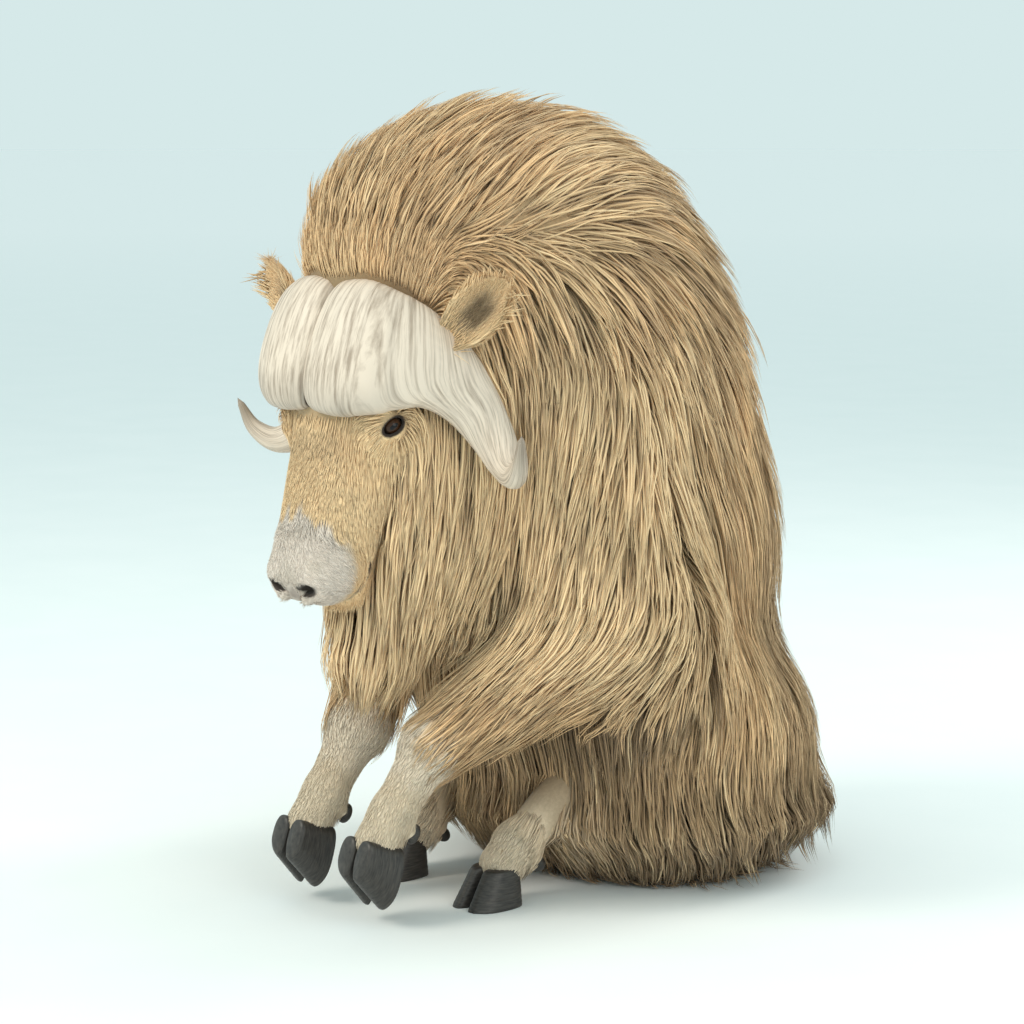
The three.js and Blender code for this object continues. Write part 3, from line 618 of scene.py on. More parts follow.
# ================================================================ the lie and the length of the coat
def lie(p, n, W):
    """The way the hair points, before it is laid onto the surface."""
    sx = np.where(p[..., 0] < 0, -1.0, 1.0)
    sm = np.clip(p[..., 0] / 0.07, -1, 1)
    z, y, x = p[..., 2], p[..., 1], np.abs(p[..., 0])

    def vec(a, b, c):
        o = np.empty(p.shape)
        o[..., 0], o[..., 1], o[..., 2] = a, b, c
        return unit(o)

    ry, rz = y + 0.05, z - 0.93
    r = np.sqrt(ry * ry + rz * rz) + 1e-6
    round_ = vec(0.06 * sm * ramp(z, 1.2, 1.4), rz / r, -ry / r)
    fall = vec(0.06 * sm, 0.30 * ramp(z, 0.55, 1.0) + 0.05, -1)
    over = np.maximum(ramp(z, 1.04, 1.34), ramp(-n[..., 1], 0.45, 0.80) * ramp(z, 0.98, 1.10) * ramp(x, 0.34, 0.24))
    over = np.maximum(over, ramp(n[..., 1], 0.2, 0.7) * 0.8)
    hem = ramp(z, 0.30, 0.08)
    trunk = unit(round_ * over[..., None] + fall * (1 - over[..., None]) + hem[..., None] * 0.55 * vec(n[..., 0], n[..., 1], 0.0 * x))
    tip = np.array([0, -0.585, 0.250])
    mane = unit(unit(tip - p) * (0.50 - 0.34 * ramp(z, 0.66, 0.52))[..., None] + np.array([0, -0.02, -0.80]))
    down = ramp(z, 0.62, 0.47)[..., None]
    fore = unit((1 - down) * vec(0.05 * sx, -0.30 + 0.25 * ramp(y, -0.2, 0.0), -1 + 0 * x) + down * vec(-0.34 * sx, -0.56, -0.62 + 0 * x))
    thigh = vec(0.10 * sx, -0.06 + 0.0 * x, -1.0)
    thigh = unit(thigh + hem[..., None] * 0.5 * vec(n[..., 0], n[..., 1], 0.0 * x))
    fs = ramp(along(p, WRIST, FETLOCK_F), 0.85, 1.15)[..., None]
    foreshin = unit((1 - fs) * vec(-0.008 * sx, -0.080, -0.106 + 0 * x) + fs * vec(0 * x, -0.034, -0.050 + 0 * x))
    hs = ramp(along(p, HOCK, FETLOCK_H), 0.85, 1.15)[..., None]
    hindshin = unit((1 - hs) * vec(-0.012 * sx, -0.157, -0.12 + 0 * x) + hs * vec(0 * x, -0.034, -0.034 + 0 * x))
    tail = vec(0 * x, 0.45, -0.8)
    # head
    q = to_head(p)
    ax, u, v = np.abs(q[..., 0]), q[..., 1], q[..., 2]
    hx = sx[..., None] * X
    h = U * 1.0 + sm[..., None] * X * 0.10 - V * (0.30 * ramp(ax, 40, 110))[..., None]
    h = h + (np.array([0, 0, -0.9]) * ramp(v, -120, -190)[..., None])
    top = ramp(u, 110, 40) * ramp(v, 30, -60)
    h = mix(h, -U * 0.9 - V * 0.5, top) + (top * sm)[..., None] * X * 0.25
    temple = ramp(ax, 90, 130) * ramp(u, 175, 120) * ramp(u, 20, 60)
    h = mix(h, U * 0.55 - V * 0.75 + 0 * h, temple)
    g = folded(p) - EYE
    rr = np.linalg.norm(g, axis=-1)
    away = unit(g - (g * n * np.array([1, 1, 1])).sum(-1, keepdims=True) * 0)
    away[..., 0] *= sx
    h = mix(h, away * 1.6 + h * 0.25, ramp(rr, 0.070, 0.036))
    nose = folded(q) - (0, 505, -84)
    nose = nose[..., :1] * sx[..., None] * X + nose[..., 1:2] * U + nose[..., 2:] * V
    h = mix(h, hx * 0.85 - V * 0.60 + U * 0.30, ramp(u, 350, 420) * ramp(ax, 20, 62))
    h = mix(h, unit(nose), ramp(u, 466, 484))
    # ears
    ew = is_ear(p)
    d_ear = np.broadcast_to(EAR_D, p.shape).copy()
    s, w, f, half, deep = ear_frame(p)
    d_ear = d_ear + (np.clip(w / half, -1, 1) * (0.25 + 0.75 * ramp(s, 0.4, 1.0)))[..., None] * EAR_W
    d_ear = unit(d_ear)
    d_ear[..., 0] *= sx
    out = sum(W[k][..., None] * d for k, d in (("trunk", trunk), ("mane", mane), ("head", unit(h)), ("fore", fore), ("thigh", thigh), ("foreshin", foreshin), ("hindshin", hindshin), ("tail", tail)))
    out = np.where(ew[..., None], d_ear, out)
    out = out + 0.10 * np.stack([noise(p * 7, 31), noise(p * 7, 32), noise(p * 7, 33)], -1)
    return unit(out)


def at_poll(p):
    """The band of head hair between the horns and the hump."""
    return (np.abs(p[..., 0]) < 0.25) & (p[..., 1] < -0.385) & (p[..., 2] > 1.045) & (p[..., 2] < 1.185)


def lengths(p, n, W):
    z, y, x = p[..., 2], p[..., 1], np.abs(p[..., 0])
    crown = 0.050 * ramp(n[..., 1], -0.55, -0.05) * ramp(z, 1.0, 1.2)
    trunk = 0.15 + crown + 0.19 * ramp(z, 1.25, 0.80) * (1 - crown / 0.06) - 0.035 * ramp(-y, 0.35, 0.48) * ramp(z, 0.9, 1.1)
    trunk = np.minimum(trunk, 0.07 + 0.75 * z)
    mane = 0.22 + 0 * z
    fore = 0.19 - 0.05 * ramp(z, 0.60, 0.40)
    fore = fore * (1 - 0.85 * ramp(along(p, (0.286, -0.130, 0.510), WRIST), 0.74, 0.95))
    thigh = np.minimum(0.17 + 0 * z, 0.05 + 0.75 * z)
    q = to_head(p)
    ax, u, v = np.abs(q[..., 0]), q[..., 1], q[..., 2]
    head = 0.016 - 0.008 * ramp(u, 385, 430)
    back_ = ramp(u, 215, 130) * ramp(v, -40, -100)
    under = ramp(v, -168, -205) * ramp(u, 400, 340)
    cheek = ramp(ax, 70, 100) * ramp(v, -120, -165) * ramp(u, 330, 250)
    head = head + 0.085 * np.maximum.reduce([back_, under, cheek * 0.85])
    head = head + 0.050 * ramp(u, 60, 20) * ramp(v, 40, -20)
    head = np.where(u < 0, 0.085, head)
    head = np.where(eye_frame(p)[3] < 0.040, 0.009, head)
    head = np.where((u > 425) & (v < -112), 0.006, head)
    head = np.where(mouth_gap(folded(q)) < 24, 0.009, head)
    near_lips = (u > 330) & (v > -205) & (ax < 125) & (mouth_gap(folded(q)) < 26) | (u > 388) & (v > -150) & (ax < 122)
    L = sum(W[k] * l for k, l in (("trunk", trunk), ("mane", mane), ("head", head), ("fore", fore), ("thigh", thigh), ("foreshin", 0.016), ("hindshin", 0.016), ("tail", 0.12)))
    L = np.where((u > 290) & (v > -152) & (ax < 125), np.minimum(L, 0.026), L)
    L = np.where(near_lips, np.minimum(L, 0.012), L)
    L = np.where(mouth_gap(folded(q)) < 15, np.minimum(L, 0.0055), L)
    ew = is_ear(p)
    s, w, f, half, deep = ear_frame(p)
    L = np.where(at_poll(p), 0.075 + 0.035 * ramp(z, 1.10, 1.17), L)
    return np.where(ew, 0.017 + (0.017 + 0.015 * noise(p * 38, 51)) * ramp(np.abs(w) / half, 0.62, 1.0) * ramp(s, 1.2, 0.9), L)


def field(p, h=0.003):
    """Depth under the outline and the way out."""
    g = {k: f(p) for k, f in GROUPS.items()}
    b = outline(p, g)
    gr = np.stack([outline(p + h * np.eye(3)[i]) - b for i in range(3)], -1) / h
    return b, unit(gr), g


def keep_clear(p, room=0.003):
    """Pushes points out of horns and eyes."""
    near = (p[:, 2] > 0.80) & (p[:, 1] < -0.36)
    if near.any():
        s = p[near]
        for f, extra in ((horn, 0.0), (lambda w: np.linalg.norm(folded(w) - EYE, axis=-1) - EYE_R, 0.001)):
            b, g = slope_of(f, s, 0.002)
            s = s + unit(g) * np.clip(room + extra - b, 0, 0.02)[:, None]
        p[near] = s
    return p


def comb(p0, n0, length, steps, tip_depth, inertia=0.35, stiff=0.45, free=0.0):
    """Paths that leave the skin and follow the lie of the coat, each to its own depth under the outline. free: 1 where the ends hang clear of it."""
    free = np.broadcast_to(np.asarray(free, float), (len(p0),))
    b, n, g = field(p0)
    depth0 = np.maximum(-b, 0.001)
    W, _ = shares(p0, g)
    d = lie(p0, n, W)
    d = unit(d - n * (d * n).sum(-1, keepdims=True))
    P, N = [p0], [unit(n + n0)]
    p = p0
    for k in range(1, steps):
        t = k / (steps - 1)
        ds = length / (steps - 1)
        q = p + d * ds[:, None]
        b, n, g = field(q)
        want = depth0 + (tip_depth - depth0) * (1 - (1 - t) ** 1.7)
        err = -b - want
        hold = (stiff + (0.85 - stiff) * ramp(q[:, 2], 1.26, 1.36)) * (1 - free * t)
        q = q + n * np.clip(err, -hold * ds, 0.9 * ds)[:, None]
        low = np.maximum(0.005 - q[:, 2], 0)
        q[:, 2] += low
        q[:, :2] += unit(n[:, :2]) * low[:, None] * 0.8
        q = keep_clear(q)
        step = unit(q - p)
        W, _ = shares(q, g)
        f = lie(q, n, W)
        f = unit(f - n * (f * n).sum(-1, keepdims=True) * (0.85 * (1 - free * t))[:, None])
        d = unit(step * inertia + f * (1 - inertia))
        N.append(n)
        P.append(q)
        p = q
    return np.stack(P, 1), np.stack(N, 1)


# ================================================================ roots of the coat, spread over the skin
TRI = np.concatenate([SKQ[:, [0, 1, 2]], SKQ[:, [0, 2, 3]]])
TA, TB, TC = (SKV[TRI[:, i]] for i in range(3))
AREA = np.linalg.norm(np.cross(TB - TA, TC - TA), axis=1) / 2
CUM = np.cumsum(AREA)
print("skin area", CUM[-1])


def scatter(n):
    i = np.searchsorted(CUM, rng.random(n) * CUM[-1])
    r1, r2 = np.sqrt(rng.random(n)), rng.random(n)
    w = np.stack([1 - r1, r1 * (1 - r2), r1 * r2], -1)
    p = (w[:, :1] * TA[i] + w[:, 1:2] * TB[i] + w[:, 2:] * TC[i])
    nn = unit(w[:, :1] * SKN[TRI[i, 0]] + w[:, 1:2] * SKN[TRI[i, 1]] + w[:, 2:] * SKN[TRI[i, 2]])
    return p, nn


def visible(p, n):
    """Leaves out skin that only touches other flesh, the floor or a horn."""
    ok = (outline(p + n * 0.0) < -0.0005) & (p[:, 2] > 0.007)
    ok &= ~((n[:, 2] < -0.6) & (p[:, 2] < 0.05))
    near = (p[:, 2] > 0.80) & (p[:, 1] < -0.36)
    ok[near] &= horn(p[near]) > 0.0005
    return ok


PIECES = {}


def unwrap(kind, p):
    q = to_head(p)
    if kind == "head":
        return np.stack([np.arctan2(q[:, 0], q[:, 2] + 105) / (2 * pi) + 0.5, q[:, 1] / 620 + 0.1], -1)
    if kind == "ear":
        s, w, f, half, deep = ear_frame(p)
        return np.stack([0.25 + 0.20 * np.where(p[:, 0] < 0, -1, 1) * (1 + np.clip(w / half, -1, 1) * 0.4) + 0.25, 0.1 + 0.35 * np.clip(s, 0, 1.2) + 0.45 * (deep > 0)], -1)
    if kind == "legs":
        q = folded(p)
        fore = p[:, 1] < -0.30
        a, b = np.where(fore[:, None], WRIST, HOCK), np.where(fore[:, None], HOOFTOP_F, HOOFTOP_H)
        s = ((q - a) * (b - a)).sum(-1) / ((b - a) ** 2).sum(-1)
        w = q - a - s[:, None] * (b - a)
        ang = np.arctan2(w[:, 0], w[:, 1] * 0.6 + w[:, 2] * 0.8) / (2 * pi) + 0.5
        k = fore * 2 + (p[:, 0] > 0)
        return np.stack([(k + 0.05 + 0.9 * ang) / 4, 0.15 + 0.5 * np.clip(s, -0.25, 1.3)], -1)
    if kind == "fore":
        q = folded(p) - (0.255, -0.15, 0.6)
        return np.stack([np.arctan2(q[:, 0], q[:, 1]) / (2 * pi) + 0.5, np.clip(p[:, 2], 0, 1.3) / 1.3], -1)
    c = p - (0, -0.02, 0.62)
    th = np.arccos(np.clip(unit(c)[:, 2], -1, 1)) / pi
    az = np.arctan2(c[:, 0], -c[:, 1])
    return np.stack([0.5 + 0.49 * th * np.sin(az), 0.5 + 0.49 * th * np.cos(az)], -1)


def locks(kind, name, P, N, half, colour, thick=0.45):
    """Closed three-sided locks; P, N: (n, stations, 3), half: (n, stations), colour: (n, stations, 3)."""
    n, S = P.shape[:2]
    T = unit(np.gradient(P, axis=1))
    B = unit(np.cross(T, N))
    R = np.cross(B, T)
    ring = np.stack([P - B * half[..., None], P + B * half[..., None], P + R * (half * thick)[..., None]], 2)[:, : S - 1]
    V_ = np.concatenate([ring.reshape(n, -1, 3), P[:, -1:]], 1)
    V_[..., 2] = np.maximum(V_[..., 2], 0.003)
    per = 3 * (S - 1) + 1
    col = np.concatenate([np.repeat(colour[:, : S - 1], 3, axis=1), colour[:, -1:]], 1)
    uv0 = unwrap(kind, P[:, 0])
    loc = np.array([[x, k / (S - 1)] for k in range(S - 1) for x in (0, 1, 0.5)] + [[0.5, 1.0]]) - 0.5
    uv = uv0[:, None] + loc[None] * 0.003
    own_ = (P[:, 0] @ np.array([913.1, 717.3, 531.7])) % 61.0
    long_ = np.linalg.norm(np.diff(P, axis=1), axis=-1).sum(1)
    fib = np.stack([own_[:, None] + (loc[None, :, 0] + 0.5) * 3.4, own_[:, None] * 3.3 + (loc[None, :, 1] + 0.5) * long_[:, None] * 12, np.repeat(own_[:, None] * 1.7, per, 1)], -1)
    k = np.arange(S - 2)[:, None] * 3
    quad = np.concatenate([k + np.array([b, a_, a_ + 3, b + 3]) for a_, b in ((0, 1), (1, 2), (2, 0))])
    l = 3 * (S - 2)
    tri = np.array([[l + 1, l, l + 3], [l + 2, l + 1, l + 3], [l, l + 2, l + 3], [0, 1, 2]])
    PIECES.setdefault(name, []).append((V_, col, uv, quad, tri, per, fib))


def piece_of(W, p):
    """Which piece of the coat a root belongs to."""
    keys = list(W)
    own = np.stack([W[k] for k in keys], -1).argmax(-1)
    name = np.array(keys)[own].astype(object)
    side = np.where(p[:, 0] > 0, "left", "right").astype(object)
    z, y = p[:, 2], p[:, 1]
    out = np.empty(len(p), object)
    for i in range(len(p)):
        k = name[i]
        if k == "trunk":
            out[i] = "hump_" + side[i] if z[i] > 1.08 else ("back" if y[i] > 0.26 and z[i] > 0.42 else "skirt_" + side[i] if z[i] < 0.42 else "flank_" + side[i])
        elif k in ("mane",):
            out[i] = "mane"
        elif k in ("tail",):
            out[i] = "skirt_" + side[i]
        elif k in ("foreshin", "hindshin"):
            out[i] = "legs_" + side[i]
        elif k == "fore":
            out[i] = "foreleg_" + side[i]
        elif k == "thigh":
            out[i] = "skirt_" + side[i]
        else:
            out[i] = k + "_" + side[i]
    return out


KIND = {"head": "head", "legs": "legs", "foreleg": "fore"}

# ---- long coat: guides first, then the locks gathered round them
p, n = scatter(400000)
W, g = shares(p)
L = lengths(p, n, W)
ok = (L > 0.045) & visible(p, n) & ~is_ear(p)
bury = -outline(p, g)
ok &= (bury < 0.125) & (outline(p + n * (bury + 0.05)[:, None]) > -0.012)
ok &= ~((n[:, 2] < -0.55) & (p[:, 2] < 0.42) & (rng.random(len(p)) < 0.8))
p, n, L = p[ok], n[ok], L[ok]
cell = np.where(L > 0.12, 0.030, np.where(L > 0.08, 0.023, 0.018))
cell = np.where((p[:, 2] > 1.16) & (L > 0.12), 0.028, cell)
cell = np.where(at_poll(p), 0.013, cell)
keep = []
for size in (0.030, 0.028, 0.023, 0.018, 0.013):
    i = np.flatnonzero(cell == size)
    _, first = np.unique(np.floor(p[i] / size).astype(np.int64) @ np.array([1, 100003, 10000600009]), return_index=True)
    keep.append(i[first])
keep = np.concatenate(keep)
gp, gn, gl = p[keep], n[keep], L[keep]
cell = cell[keep]
gW, _ = shares(gp)
print("guides", len(gp))
STEPS = 15
lift = rng.random(len(gp))
tipd = np.where(gW["head"] > 0.5, 0.002, 0.004) + 0.022 * rng.random(len(gp)) ** 1.5
proud = (lift > 0.94) & (gp[:, 2] > 1.0)
tipd = np.where(proud, -0.010 * rng.random(len(gp)) - 0.002, tipd)
tipd = tipd + 0.004 * ramp(gp[:, 2], 1.15, 1.30) * ramp(gn[:, 1], -0.3, 0.2)
# the rear edge of the shoulder hangs over the flank, and the mane's edge over the forelegs
over_flank = beside(gW, "trunk", gW["fore"])
edge_ = (over_flank > 0) & (over_flank < 0.05) & (gn[:, 1] > -0.2) & (gp[:, 2] < 0.95) & (gp[:, 2] > 0.40)
tipd = np.where(edge_, -0.010 - 0.012 * lift, tipd)
under_lobe = beside(gW, "fore", np.maximum(gW["trunk"], gW["thigh"]))
tipd = tipd + 0.026 * np.exp(-((under_lobe / 0.05) ** 2)) * (under_lobe > 0) * ramp(gp[:, 1], -0.10, -0.02)
fringe = (gW["mane"] > 0.5) & (gp[:, 2] < 0.66)
tipd = np.where(fringe, -0.012 * lift, tipd)
# tufts that break the hem at the rear and along the lower edge of the shoulder and forearm
rear_hem = (gW["trunk"] + gW["tail"] > 0.5) & (gp[:, 2] > 0.08) & (gp[:, 2] < 0.36) & (gp[:, 1] > 0.05) & (rng.random(len(gp)) < 0.30)
lobe_hem = (gW["fore"] > 0.5) & (over_flank < 0.06) & (gp[:, 2] < 0.60) & (rng.random(len(gp)) < 0.45)
free = np.where(fringe, 0.85, np.where(rear_hem, 0.75, np.where(lobe_hem, 0.6, np.where(edge_, 0.4, 0.0))))
limit = np.where(fringe, 0.010 + 0.022 * lift, np.where(rear_hem, 0.012 + 0.020 * lift, np.where(lobe_hem, 0.008 + 0.018 * lift, 0.030)))
tipd = np.where(at_poll(gp), 0.010 + 0.030 * lift, tipd)
gl = gl * (0.85 + 0.35 * rng.random(len(gp)))
GP, GN = comb(gp, gn, gl, STEPS, tipd, free=free)
hang = outline(GP.reshape(-1, 3)).reshape(len(GP), STEPS) > limit[:, None]
hang[:, :5] = False
stop = np.where(hang.any(1), hang.argmax(1), STEPS - 1) / (STEPS - 1)
at = stop[:, None] * np.linspace(0, 1, STEPS)[None] * (STEPS - 1)
i0 = np.minimum(at.astype(int), STEPS - 2)
fr = (at - i0)[..., None]
row = np.arange(len(GP))[:, None]
GP, GN = GP[row, i0] * (1 - fr) + GP[row, i0 + 1] * fr, unit(GN[row, i0] * (1 - fr) + GN[row, i0 + 1] * fr)
gl = gl * stop


def seen(p):
    """Whether a point has a free way out of the body in any direction above the floor."""
    open_ = np.zeros(len(p), bool)
    for el_, count_ in ((4, 12), (40, 8), (80, 1)):
        for k_ in range(count_):
            a_, e_ = 2 * pi * (k_ + el_ / 90) / count_, math.radians(el_)
            d_ = np.array([math.cos(a_) * math.cos(e_), math.sin(a_) * math.cos(e_), math.sin(e_)])
            i_ = np.flatnonzero(~open_)
            x_, free = p[i_].copy(), np.ones(len(i_), bool)
            for _ in range(24):
                o_ = outline(x_)
                free &= o_ > -0.008
                x_ += d_ * np.maximum(o_, 0.035)[:, None]
            open_[i_] = free
    return open_


mid_ = GP[:, 8] + GN[:, 8] * (0.022 - outline(GP[:, 8]))[:, None]
show = seen(mid_) | seen(GP[:, -1] + GN[:, -1] * 0.020)
print("guides seen", show.sum(), "of", len(show))
gp, gn, gl, cell, lift, GP, GN = (z[show] for z in (gp, gn, gl, cell, lift, GP, GN))
gW = {k: w[show] for k, w in gW.items()}
GT = unit(np.gradient(GP, axis=1))
GB = unit(np.cross(GT, GN))
root_colour = markings_and_painted_light(gp, gn, gW)
clump_tone = 1 + 0.07 * rng.standard_normal(len(gp)).clip(-2, 2)

kids = rng.integers(5, 9, len(gp))
kids = np.where(gl > 0.2, kids + 1, kids)
kids = np.where(at_poll(gp), 3, kids)
kids = np.where((gp[:, 2] < 0.42) & (gW["mane"] < 0.5), kids - 1, kids)
kids = np.where((gp[:, 2] > 1.08) & (lift < 0.5) & ~at_poll(gp), kids - 1, kids)
own = np.repeat(np.arange(len(gp)), kids)
m = len(own)
print("long locks", m)
ang, rad = rng.random(m) * 2 * pi, np.sqrt(rng.random(m)) * cell[own] * 0.95
short = 0.72 + 0.34 * rng.random(m)
pull = (0.50 + 0.42 * rng.random(len(gp)))[own]
phase = (rng.random(len(gp)) * 2 * pi)[own] + rng.random(m) * 1.2
wave = (0.0015 + 0.0045 * rng.random(m)) * np.clip(gl[own] / 0.2, 0.3, 1.4)
turns, sinks, kind_r = 3.5 + 2.5 * rng.random(m), rng.random(m) * 0.010, rng.random(m)
hw = (0.0017 + 0.0012 * rng.random(m)) * np.clip(0.62 + gl[own] * 2.0, 0.6, 1.1)
tone = clump_tone[own] * (1 + 0.06 * rng.standard_normal(m).clip(-2, 2))
base = root_colour[own]
base = np.where((kind_r < 0.12)[:, None], base + (STREAK - base) * 0.6, base)
base = np.where((kind_r > 0.86)[:, None], base + (SHADE - base) * 0.7, base)
names = piece_of({k: w[own] for k, w in gW.items()}, gp[own])
PROFILE = ([0, 0.17, 0.33, 0.5, 0.67, 0.83, 1], [0.30, 1.0, 1.0, 0.92, 0.76, 0.48, 0.0])
ALONG = [0.66, 0.80, 0.92, 0.98, 1.02, 1.05, 1.07]


def in_the_way(P):
    """Locks that would cross the opening of the eye, or lie over the muzzle."""
    la, lb, lg, r = eye_frame(P)
    q = folded(to_head(P))
    eye = (np.sqrt((la / 0.0225) ** 2 + (lb / 0.0145) ** 2) < 1) & (lg > 0.006) & (r < EYE_R + 0.035)
    lips = (q[..., 1] > 395) & (q[..., 2] > -152) & (q[..., 0] < 120) & (s_head(P) < 0.03)
    return eye.any(1), lips.any(1)


for S, some in ((6, gl[own] > 0.145), (5, gl[own] <= 0.145)):
    k_ = np.flatnonzero(some)
    t = np.linspace(0, 1, S)
    at = np.clip(t[None] * short[k_, None], 0, 1) * (STEPS - 1)
    i0 = np.minimum(at.astype(int), STEPS - 2)
    fr = (at - i0)[..., None]
    pick = lambda A: A[own[k_][:, None], i0] * (1 - fr) + A[own[k_][:, None], i0 + 1] * fr
    CP, CN, CB, CT = pick(GP), unit(pick(GN)), unit(pick(GB)), unit(pick(GT))
    spread_ = (1 - pull[k_, None] * t[None] ** 1.3)[..., None]
    CP = CP + (CB * (np.cos(ang[k_]) * rad[k_])[:, None, None] + CT * (np.sin(ang[k_]) * rad[k_])[:, None, None]) * spread_
    CP = CP - CN * (sinks[k_, None, None] * np.sin(pi * t)[None, :, None])
    CP = CP + CB * (wave[k_, None] * t[None] ** 1.2 * np.sin(phase[k_, None] + t[None] * turns[k_, None]))[..., None]
    CP[..., 2] = np.maximum(CP[..., 2], 0.005)
    head_near = np.flatnonzero((CP[:, 0, 1] < -0.40) & (CP[:, 0, 2] > 0.5) & (CP[:, 0, 2] < 1.05))
    ok_ = np.ones(len(k_), bool)
    ok_[head_near] = ~np.logical_or(*in_the_way(CP[head_near]))
    k_, CP, CN = k_[ok_], CP[ok_], CN[ok_]
    CP[:, 0] -= CN[:, 0] * np.clip(skin(CP[:, 0]) + 0.002, 0, 0.020)[:, None]
    CP[..., 2] = np.maximum(CP[..., 2], 0.005)
    half = hw[k_, None] * np.interp(t, *PROFILE)[None]
    colour = base[k_, None] * (tone[k_, None] * np.interp(t, PROFILE[0], ALONG)[None])[..., None]
    for nm in sorted(set(names[k_])):
        i = np.flatnonzero(names[k_] == nm)
        locks(KIND.get(nm.split("_")[0], "body"), nm, CP[i], CN[i], half[i], colour[i])

# ---- short coat of the face, ears and lower legs
p, n = scatter(900000)
W, g = shares(p)
L = lengths(p, n, W)
ew = is_ear(p)
L = np.where((W["head"] > 0.4) & (L > 0.034), 0.034, L)
behind = at_poll(p) & ~ew
behind[behind] = horn(p[behind]) < 0.045
L = np.where(behind & (L > 0.034), 0.046, L)
hock = (np.linalg.norm(folded(p) - HOCK, axis=-1) < 0.115) & (p[:, 1] < 0.02) & (W["thigh"] + W["hindshin"] > 0.6)
L = np.where(hock & (L > 0.029), 0.029, L)
q_ = to_head(p)
out_ = outline(p, g)
nose = (W["head"] > 0.5) & (q_[:, 1] > 405) & (q_[:, 2] > -190) & (out_ < 0.010)
nose |= (W["head"] > 0.25) & (q_[:, 1] > 320) & (q_[:, 2] > -215) & (out_ < 0.012) & (out_ > -0.004) & (L < 0.02)
ok = (L < 0.062) & (visible(p, n) | nose) & ((-outline(p, g) < 0.05) | behind) | ew
_, naked = bare(p)
la, lb, lg, r = eye_frame(p)
ok &= ~((naked > 0.55) & ~ew) & ~((r < EYE_R + 0.0035))
p, n, L, ew, nose = p[ok], n[ok], L[ok], ew[ok], nose[ok]
face = (to_head(p)[:, 1] > 60) & (p[:, 1] < -0.42) & (p[:, 2] > 0.5)
fine = np.where(ew, 0.0044, np.where(L < 0.012, 0.0037, np.where(L < 0.030, np.where(face, 0.0036, 0.0052), np.where(at_poll(p), 0.0046, 0.0068))))
keep = []
for size in (0.0037, 0.0036, 0.0044, 0.0052, 0.0046, 0.0068):
    i = np.flatnonzero(fine == size)
    _, first = np.unique(np.floor(p[i] / size).astype(np.int64) @ np.array([1, 100003, 10000600009]), return_index=True)
    keep.append(i[first])
keep = np.concatenate(keep)
p, n, L, ew, nose = p[keep], n[keep], L[keep], ew[keep], nose[keep]
W, g = shares(p)
m = len(p)
print("short tufts", m)
Lr = L * (0.75 + 0.5 * rng.random(m))
face = (to_head(p)[:, 1] > 60) & (p[:, 1] < -0.42) & (p[:, 2] > 0.5)
b = -outline(p, g)
b = np.maximum(b, 0.001)
tipd = b - np.maximum(b * (0.18 + 0.22 * rng.random(m)), 0.0012 + 0.085 * L)
SP, SN = comb(p, n, Lr, 4, tipd, inertia=0.5, stiff=0.2)
if ew.any():  # the ears stand clear of the outline: their hair lies along the leaf
    q = p[ew]
    d = lie(q, n[ew], {k: w[ew] for k, w in W.items()}) + 0.24 * (rng.random((ew.sum(), 3)) - 0.5)
    d = unit(d - n[ew] * (d * n[ew]).sum(-1, keepdims=True))
    tt = np.linspace(0, 1, 4)[None, :, None]
    SP[ew] = q[:, None] + d[:, None] * tt * Lr[ew][:, None, None] + n[ew][:, None] * (0.0036 * tt ** 0.8)
    SN[ew] = n[ew][:, None]
if nose.any():  # so does the velvet of the muzzle
    q = p[nose]
    d = lie(q, n[nose], {k: w[nose] for k, w in W.items()}) + 0.16 * (rng.random((nose.sum(), 3)) - 0.5)
    d = unit(d - n[nose] * (d * n[nose]).sum(-1, keepdims=True))
    tt = np.linspace(0, 1, 4)[None, :, None]
    SP[nose] = q[:, None] + d[:, None] * tt * Lr[nose][:, None, None] + n[nose][:, None] * (0.0016 * np.sin(pi * tt * 0.62) - 0.0006 * (1 - tt))
    SN[nose] = n[nose][:, None]
for k_ in (1, 2, 3):
    SP[:, k_] += SN[:, k_] * np.clip(0.0007 + 0.0005 * k_ - skin(SP[:, k_]), 0, 0.012)[:, None] * ~ew[:, None]
SP[:, 0] -= n * 0.0013
across, over = in_the_way(SP)
free_ = ~(across | (over & ~nose & (p[:, 2] < 0.75) & (to_head(p)[:, 2] < -168)))
p, n, L, ew, nose, face, Lr, SP, SN = (z[free_] for z in (p, n, L, ew, nose, face, Lr, SP, SN))
W = {k: w[free_] for k, w in W.items()}
m = len(p)
root = markings_and_painted_light(p, n, W)
nb, naked = bare(p)
root = mix(root, nb, naked * np.where(ew, 1.0, 0.6))
tone = 1 + 0.07 * rng.standard_normal(m).clip(-2, 2)
colour = root[:, None] * (tone[:, None] * np.array([0.86, 0.94, 1.01, 1.05])[None])[..., None]
hw = np.where(face | ew, np.clip(0.0005 + Lr * 0.022, 0.00055, 0.00115), np.clip(0.0006 + Lr * 0.034, 0.0007, 0.0018))
half = hw[:, None] * np.array([0.26, 1.0, 0.74, 0.0])[None]
names = piece_of(W, p)
names[ew] = "ears"
for nm in sorted(set(names)):
    i = np.flatnonzero(names == nm)
    first = nm.split("_")[0]
    kd = "ear" if nm == "ears" else KIND.get(first, "body")
    target = {"head": "face_" + nm.split("_")[-1], "ears": "ears"}.get(first, nm)
    locks(kd, target, SP[i], SN[i], half[i], colour[i])


